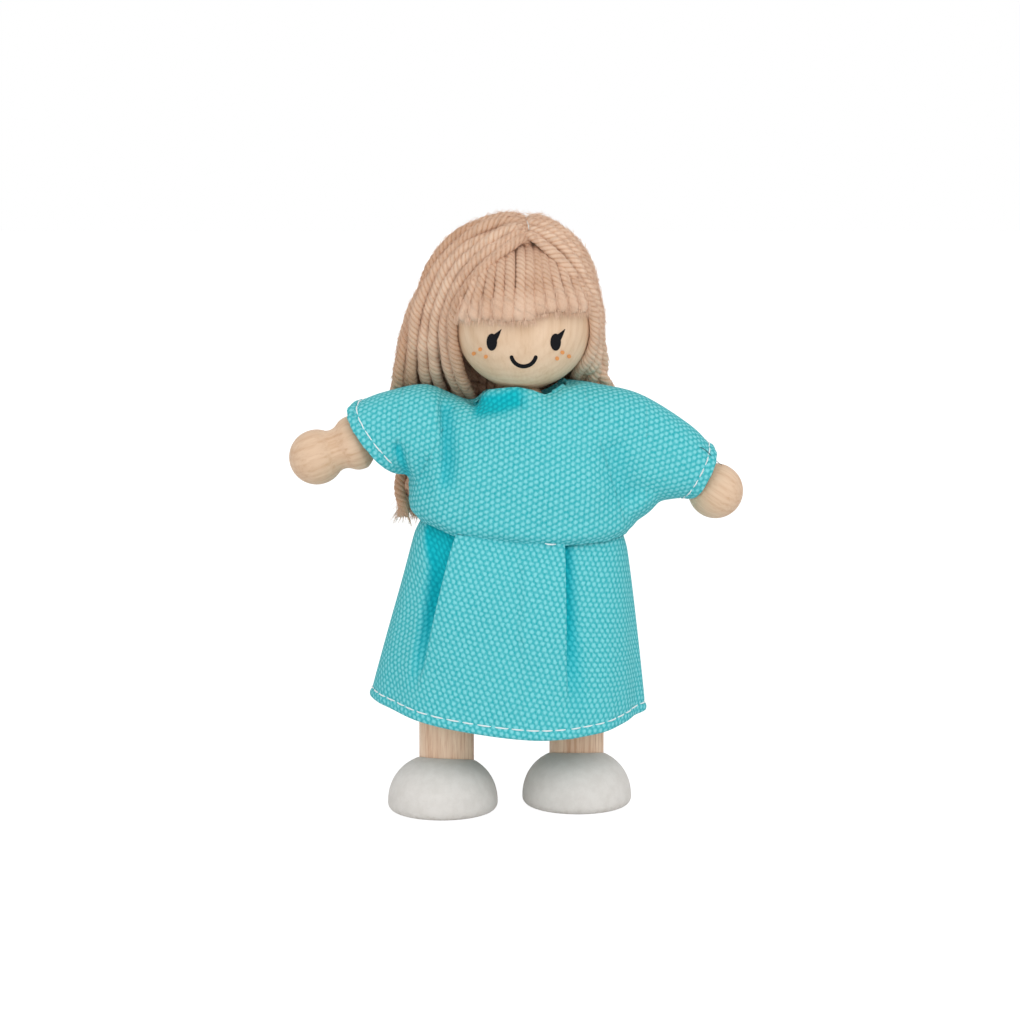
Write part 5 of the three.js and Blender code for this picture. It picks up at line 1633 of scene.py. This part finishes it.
chance = random.Random(11)
STEP = 1.4
strands, strand_sides = [], []
plan = (("right", right_guides, 22, 5.8, 12.4), ("left", left_guides, 17, 3.4, 8.6))
for side, guides, count, first, second in plan:
    for i in range(count):
        share = np.interp(i + 0.5 + chance.uniform(-0.2, 0.2), (0, first, second, count), (0, 1 / 3, 2 / 3, 1))
        path = strand_between(guides, share, chance.uniform(-0.07, 0.07))
        path[-1, 2] += chance.uniform(-1.2, 1.4)
        path = even(path, STEP)
        run = np.arange(len(path)) * STEP
        sway = np.clip(run / 12, 0, 1)[:, None] * 0.4
        waves = [np.sin(run / chance.uniform(2.4, 4.2) + chance.uniform(0, 6)) for _ in range(3)]
        strands.append(path + sway * np.stack(waves, 1))
        strand_sides.append(side)
print(len(strands), "strands, the longest", round(max(run_along(s)[-1] for s in strands)), "mm")

# %% Settling
def ball_push(points, centre, reach):
    away = points - centre
    distance = np.linalg.norm(away, axis=1, keepdims=True)
    return np.where(distance < reach, away * (reach / distance - 1), 0)


def settle(strands, rounds):
    """Pushes strands apart, and out of the head and the dress, and keeps each of them smooth."""
    owner = np.concatenate([np.full(len(s), i) for i, s in enumerate(strands)])
    starts = np.cumsum([0] + [len(s) for s in strands])
    parts = [slice(start, end) for start, end in zip(starts, starts[1:])]
    points = np.vstack(strands)
    home = points.copy()
    run = np.concatenate([np.arange(len(s)) * STEP for s in strands])
    size = YARN_R * (0.66 + 0.34 * np.clip(run / 11, 0, 1) ** 0.8)
    pinned = np.clip(1 - (run - 1.5) / 5, 0, 1)
    for _ in range(rounds):
        tree = KDTree(len(points))
        for i, p in enumerate(points):
            tree.insert(p, i)
        tree.balance()
        push = np.zeros_like(points)
        for i, p in enumerate(points):
            for _, j, gap in tree.find_range(p, 2 * size[i]):
                room = (size[i] + size[j]) * 0.92
                if owner[j] != owner[i] and 1e-6 < gap < room:
                    push[i] += (p - points[j]) / gap * (room - gap) * 0.28
        points = points + push * (1 - pinned[:, None])
        points += ball_push(points, C, 15.15 + size.mean() * 0.95)
        for i, p in enumerate(points):
            if p[2] < 96:
                place, normal, _, gap = top_tree.find_nearest(Vector(p * MM), 6 * MM)
                if place is not None:
                    outside = (Vector(p * MM) - place).dot(normal) / MM
                    wanted = size[i] + 0.15
                    if -4 < outside < wanted:
                        points[i] += np.array(normal) * (wanted - outside) * 0.6
        drift = points - home
        far = np.linalg.norm(drift, axis=1, keepdims=True)
        points = home + drift * np.minimum(1, 3.2 / np.maximum(far, 1e-6)) * (1 - pinned[:, None])
        for part in parts:
            smooth(points[part], 1)
    return [points[part] for part in parts], [size[part] for part in parts]


settled, sizes = settle(strands, 22)
print("settled", sum(len(s) for s in settled), "points")

# %% Hair at the sides
NECK_CUT = 92.0
groups = {"right_hair_lower": [], "right_hair": [], "left_hair": [], "left_hair_lower": []}
brushes = []
for side, points, size in zip(strand_sides, settled, sizes):
    run = run_along(points)
    fine_path = even(spline(points, np.linspace(0, 1, len(points) * 3)), 0.5)
    marks = np.linspace(0, run[-1], len(fine_path))
    uneven = 1 + 0.06 * np.sin(marks / chance.uniform(1.0, 2.2) + chance.uniform(0, 6))
    uneven += 0.03 * np.sin(marks * chance.uniform(2, 3.5))
    end = marks[-1] - marks
    frayed = np.clip(1 - end / 4.5, 0, 1)
    radius = np.interp(marks, run, size) * uneven * (1 + 0.15 * np.sin(pi * frayed) - 0.62 * frayed**2)
    low = int(np.argmax(fine_path[:, 2] < NECK_CUT))
    # Each strand's tone is random, and on top of that the figure's left is painted paler and its right darker:
    # painted light, as the lamp falls on the wig.
    phase, tone = chance.uniform(0, 6.28), chance.uniform(0.1, 1) + (0.35 if side == "left" else -0.1)
    for name, first, last in ((side + "_hair", 0, low), (side + "_hair_lower", low, len(fine_path) - 1)):
        if last - first > 3:
            part = slice(first, last + 1)
            groups[name].append(rope(fine_path[part], radius[part], phase, tone, flat=1 - frayed[part],
                                     start_turn=marks[first]))
    brushes.append((side, fine_path[-16:], tone))

# A second layer fills the gaps from below: a strand between each two neighbours, nearer to the head.
sided = list(zip(strand_sides, settled))
for (near_side, near), (side, far) in zip(sided, sided[1:]):
    if near_side == side:
        marks = np.linspace(0, 1, 70)
        middle = (spline(near, marks) + spline(far, marks)) / 2
        inward = C - middle
        inward[:, 2] *= np.clip((middle[:, 2] - C[2]) / 15, 0, 1)
        inward /= np.maximum(np.linalg.norm(inward, axis=1, keepdims=True), 1e-6)
        under = middle + inward * 1.5 * np.clip(marks * 5, 0, 1)[:, None]
        under = even(under + ball_push(under, C, 15.9), 0.8)
        low, phase, tone = int(np.argmax(under[:, 2] < NECK_CUT)), chance.uniform(0, 6.28), chance.uniform(0, 0.3)
        for name, first, last in ((side + "_hair", 2, low), (side + "_hair_lower", low, len(under) - 7)):
            if last - first > 3:
                groups[name].append(rope(under[first:last + 1], 1.1, phase, tone, start_turn=0.8 * first))
hair = {name: yarn_object(name, ropes) for name, ropes in groups.items()}
print({name: len(o.data.polygons) for name, o in hair.items()})

# %% Fringe
FRINGE = 12
fringe_ropes, fringe_paths = [], []
for k in range(FRINGE):
    u = 2 * (k + 0.5) / FRINGE - 1
    marks = np.linspace(0, 1, 40)
    cut = (0.8 if u < 0.15 else 2.5) + chance.uniform(-0.3, 0.3)
    x = 7.6 * u + (13.7 * u - 7.6 * u) * marks**0.75 + chance.uniform(-0.2, 0.2) + 0.25 * np.sin(marks * 5 + k)
    shell = np.sqrt(np.maximum((15 + 1.3 - 0.2 * marks) ** 2 - x**2, 1))
    lift = radians(86) + (np.arcsin(np.clip(cut / shell, -1, 1)) - radians(86)) * marks
    z, y = shell * np.sin(lift), -shell * np.cos(lift)
    path = even(np.stack([x, y, z], 1) + C, 0.5)
    share = np.linspace(0, 1, len(path))
    brushed = np.clip((share - 0.68) / 0.24, 0, 1)
    radius = 1.2 * (0.8 + 0.2 * np.clip(share * 2, 0, 1)) * (1 + 0.5 * brushed)
    radius = radius * np.clip((1 - share) * 16 + 0.4, 0, 1) ** 0.5
    phase, tone = chance.uniform(0, 6.28), chance.uniform(0.35, 0.9)
    fringe_ropes.append(rope(path, radius, phase, tone, flat=1 - 0.85 * brushed))
    fringe_paths.append(path)
fringe = yarn_object("fringe", fringe_ropes)
print("fringe", len(fringe.data.polygons), "faces")

# %% Loose fibres
def fibre(root, way_out, length, curl, thick):
    """One loose fibre, three-sided, from a root along a direction."""
    way_out = unit(way_out)
    side_way = unit(np.cross(way_out, (0.37, 0.61, 0.7)))
    third = np.cross(way_out, side_way)
    rings = []
    for t in (0, 0.35, 0.7, 1):
        centre = root + way_out * length * t + side_way * curl * t * t
        wide = thick * (1 - 0.75 * t)
        rings.append([centre + wide * (cos(a) * side_way + sin(a) * third) for a in (0, 2.09, 4.19)])
    vertices = np.array(rings).reshape(-1, 3)
    return vertices, tube_faces(4, 3), np.zeros((12, 2)), np.full(12, 0.9), np.full(12, chance.uniform(0.6, 1))


def fuzz(paths, radius, count, long, spread=0.5):
    """Loose fibres along the outside of strands, lying mostly along them."""
    made = []
    while len(made) < count:
        k = chance.randrange(len(paths))
        i = chance.randrange(1, len(paths[k]) - 1)
        run_way = unit(paths[k][i + 1] - paths[k][i - 1]) * (1 if chance.random() < 0.5 else -1)
        out = (paths[k][i] - C) * (1, 1, 0.3)
        out = unit(unit(out) + [chance.uniform(-0.6, 0.6) for _ in range(3)])
        made.append(fibre(paths[k][i] + out * radius * 0.85, run_way + out * chance.uniform(0.1, spread),
                          chance.uniform(0.5, 1) * long, chance.uniform(-0.5, 0.5), 0.06))
    return made


def strands_of(side, chosen):
    """The parts of one side's strands that a choice of points leaves, if they are long enough."""
    parts = [chosen(s) for strand_side, s in sided if strand_side == side]
    return [s for s in parts if len(s) > 5]


def above(s): return s[s[:, 2] > NECK_CUT + 1][2:]
def below(s): return s[s[:, 2] < NECK_CUT - 1]


fuzzes = {
    "right_hair_fibres": fuzz(strands_of("right", above), 1.2, 6500, 2.2),
    "left_hair_fibres": fuzz(strands_of("left", above), 1.2, 5200, 2.2),
    "right_hair_lower_fibres": fuzz(strands_of("right", below), 1.1, 200, 3.0),
    "left_hair_lower_fibres": [],
    "fringe_fibres": fuzz(fringe_paths, 1.1, 1500, 2.0, 0.3),
}
for path in fringe_paths:
    for _ in range(190):
        k = chance.randrange(1, 12)
        out = unit(path[-k] - C)
        root = path[-k] + (chance.uniform(-1.45, 1.45), 0, 0) + out * chance.uniform(0.3, 1.15)
        onward = unit(path[-1] - path[-6]) + (chance.gauss(0, 0.16), 0, 0) - out * 0.12
        fuzzes["fringe_fibres"].append(fibre(root, onward, 0.5 * k * 0.5 + chance.uniform(0.3, 1.5),
                                             chance.uniform(-0.25, 0.25), chance.uniform(0.05, 0.1)))
for side, end_path, tone in brushes:
    if end_path[-1][2] < 90:
        onward = unit(end_path[-1] - end_path[-6])
        for _ in range(80):
            k = chance.randrange(0, 15)
            off = np.array([chance.gauss(0, 0.42) for _ in range(3)])
            fuzzes[side + "_hair_lower_fibres"].append(
                fibre(end_path[k] + off, onward + off * 0.18, chance.uniform(2.2, 5.5) * (1 - 0.03 * k),
                      chance.uniform(-0.35, 0.35), 0.09))
loose = {name: yarn_object(name, made) for name, made in fuzzes.items()}
print({name: len(o.data.polygons) for name, o in loose.items()})

# %% Riding with the head
for name, obj in {**hair, **loose}.items():
    if "lower" in name:
        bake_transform(obj)
    elif "fringe" not in name:
        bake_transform(obj)
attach(fringe, "head")
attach(loose["fringe_fibres"], "head")
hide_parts("hair_fringe")
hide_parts("hair_right_side")
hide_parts("hair_left_side")
print("hair rides from", NECK_CUT, "mm up with the neck and the head")

# %% Parting stitch
hair_points = np.vstack([even(s, 0.5) for s in settled])


def on_hair(px, py):
    """The first place along the camera's ray that touches a strand."""
    for y in np.arange(-16, 8, 0.1):
        x, z = seen_at(px, py, y)
        if np.linalg.norm(hair_points - (x, y, z), axis=1).min() < 1.25:
            break
    return x, y, z


knot_path = np.array([on_hair(px, py) for px, py in ((527, 221), (528.5, 225.5), (529, 230))])
tie = joined("parting_stitch", [tube(knot_path, [0.07, 0.1, 0.07])], thread)
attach(tie, "head")
print("stitched at", np.round(knot_path[0], 1))

# %% Back closure
coat(frame["nodes"]["dress_back_closure"], tape.material)
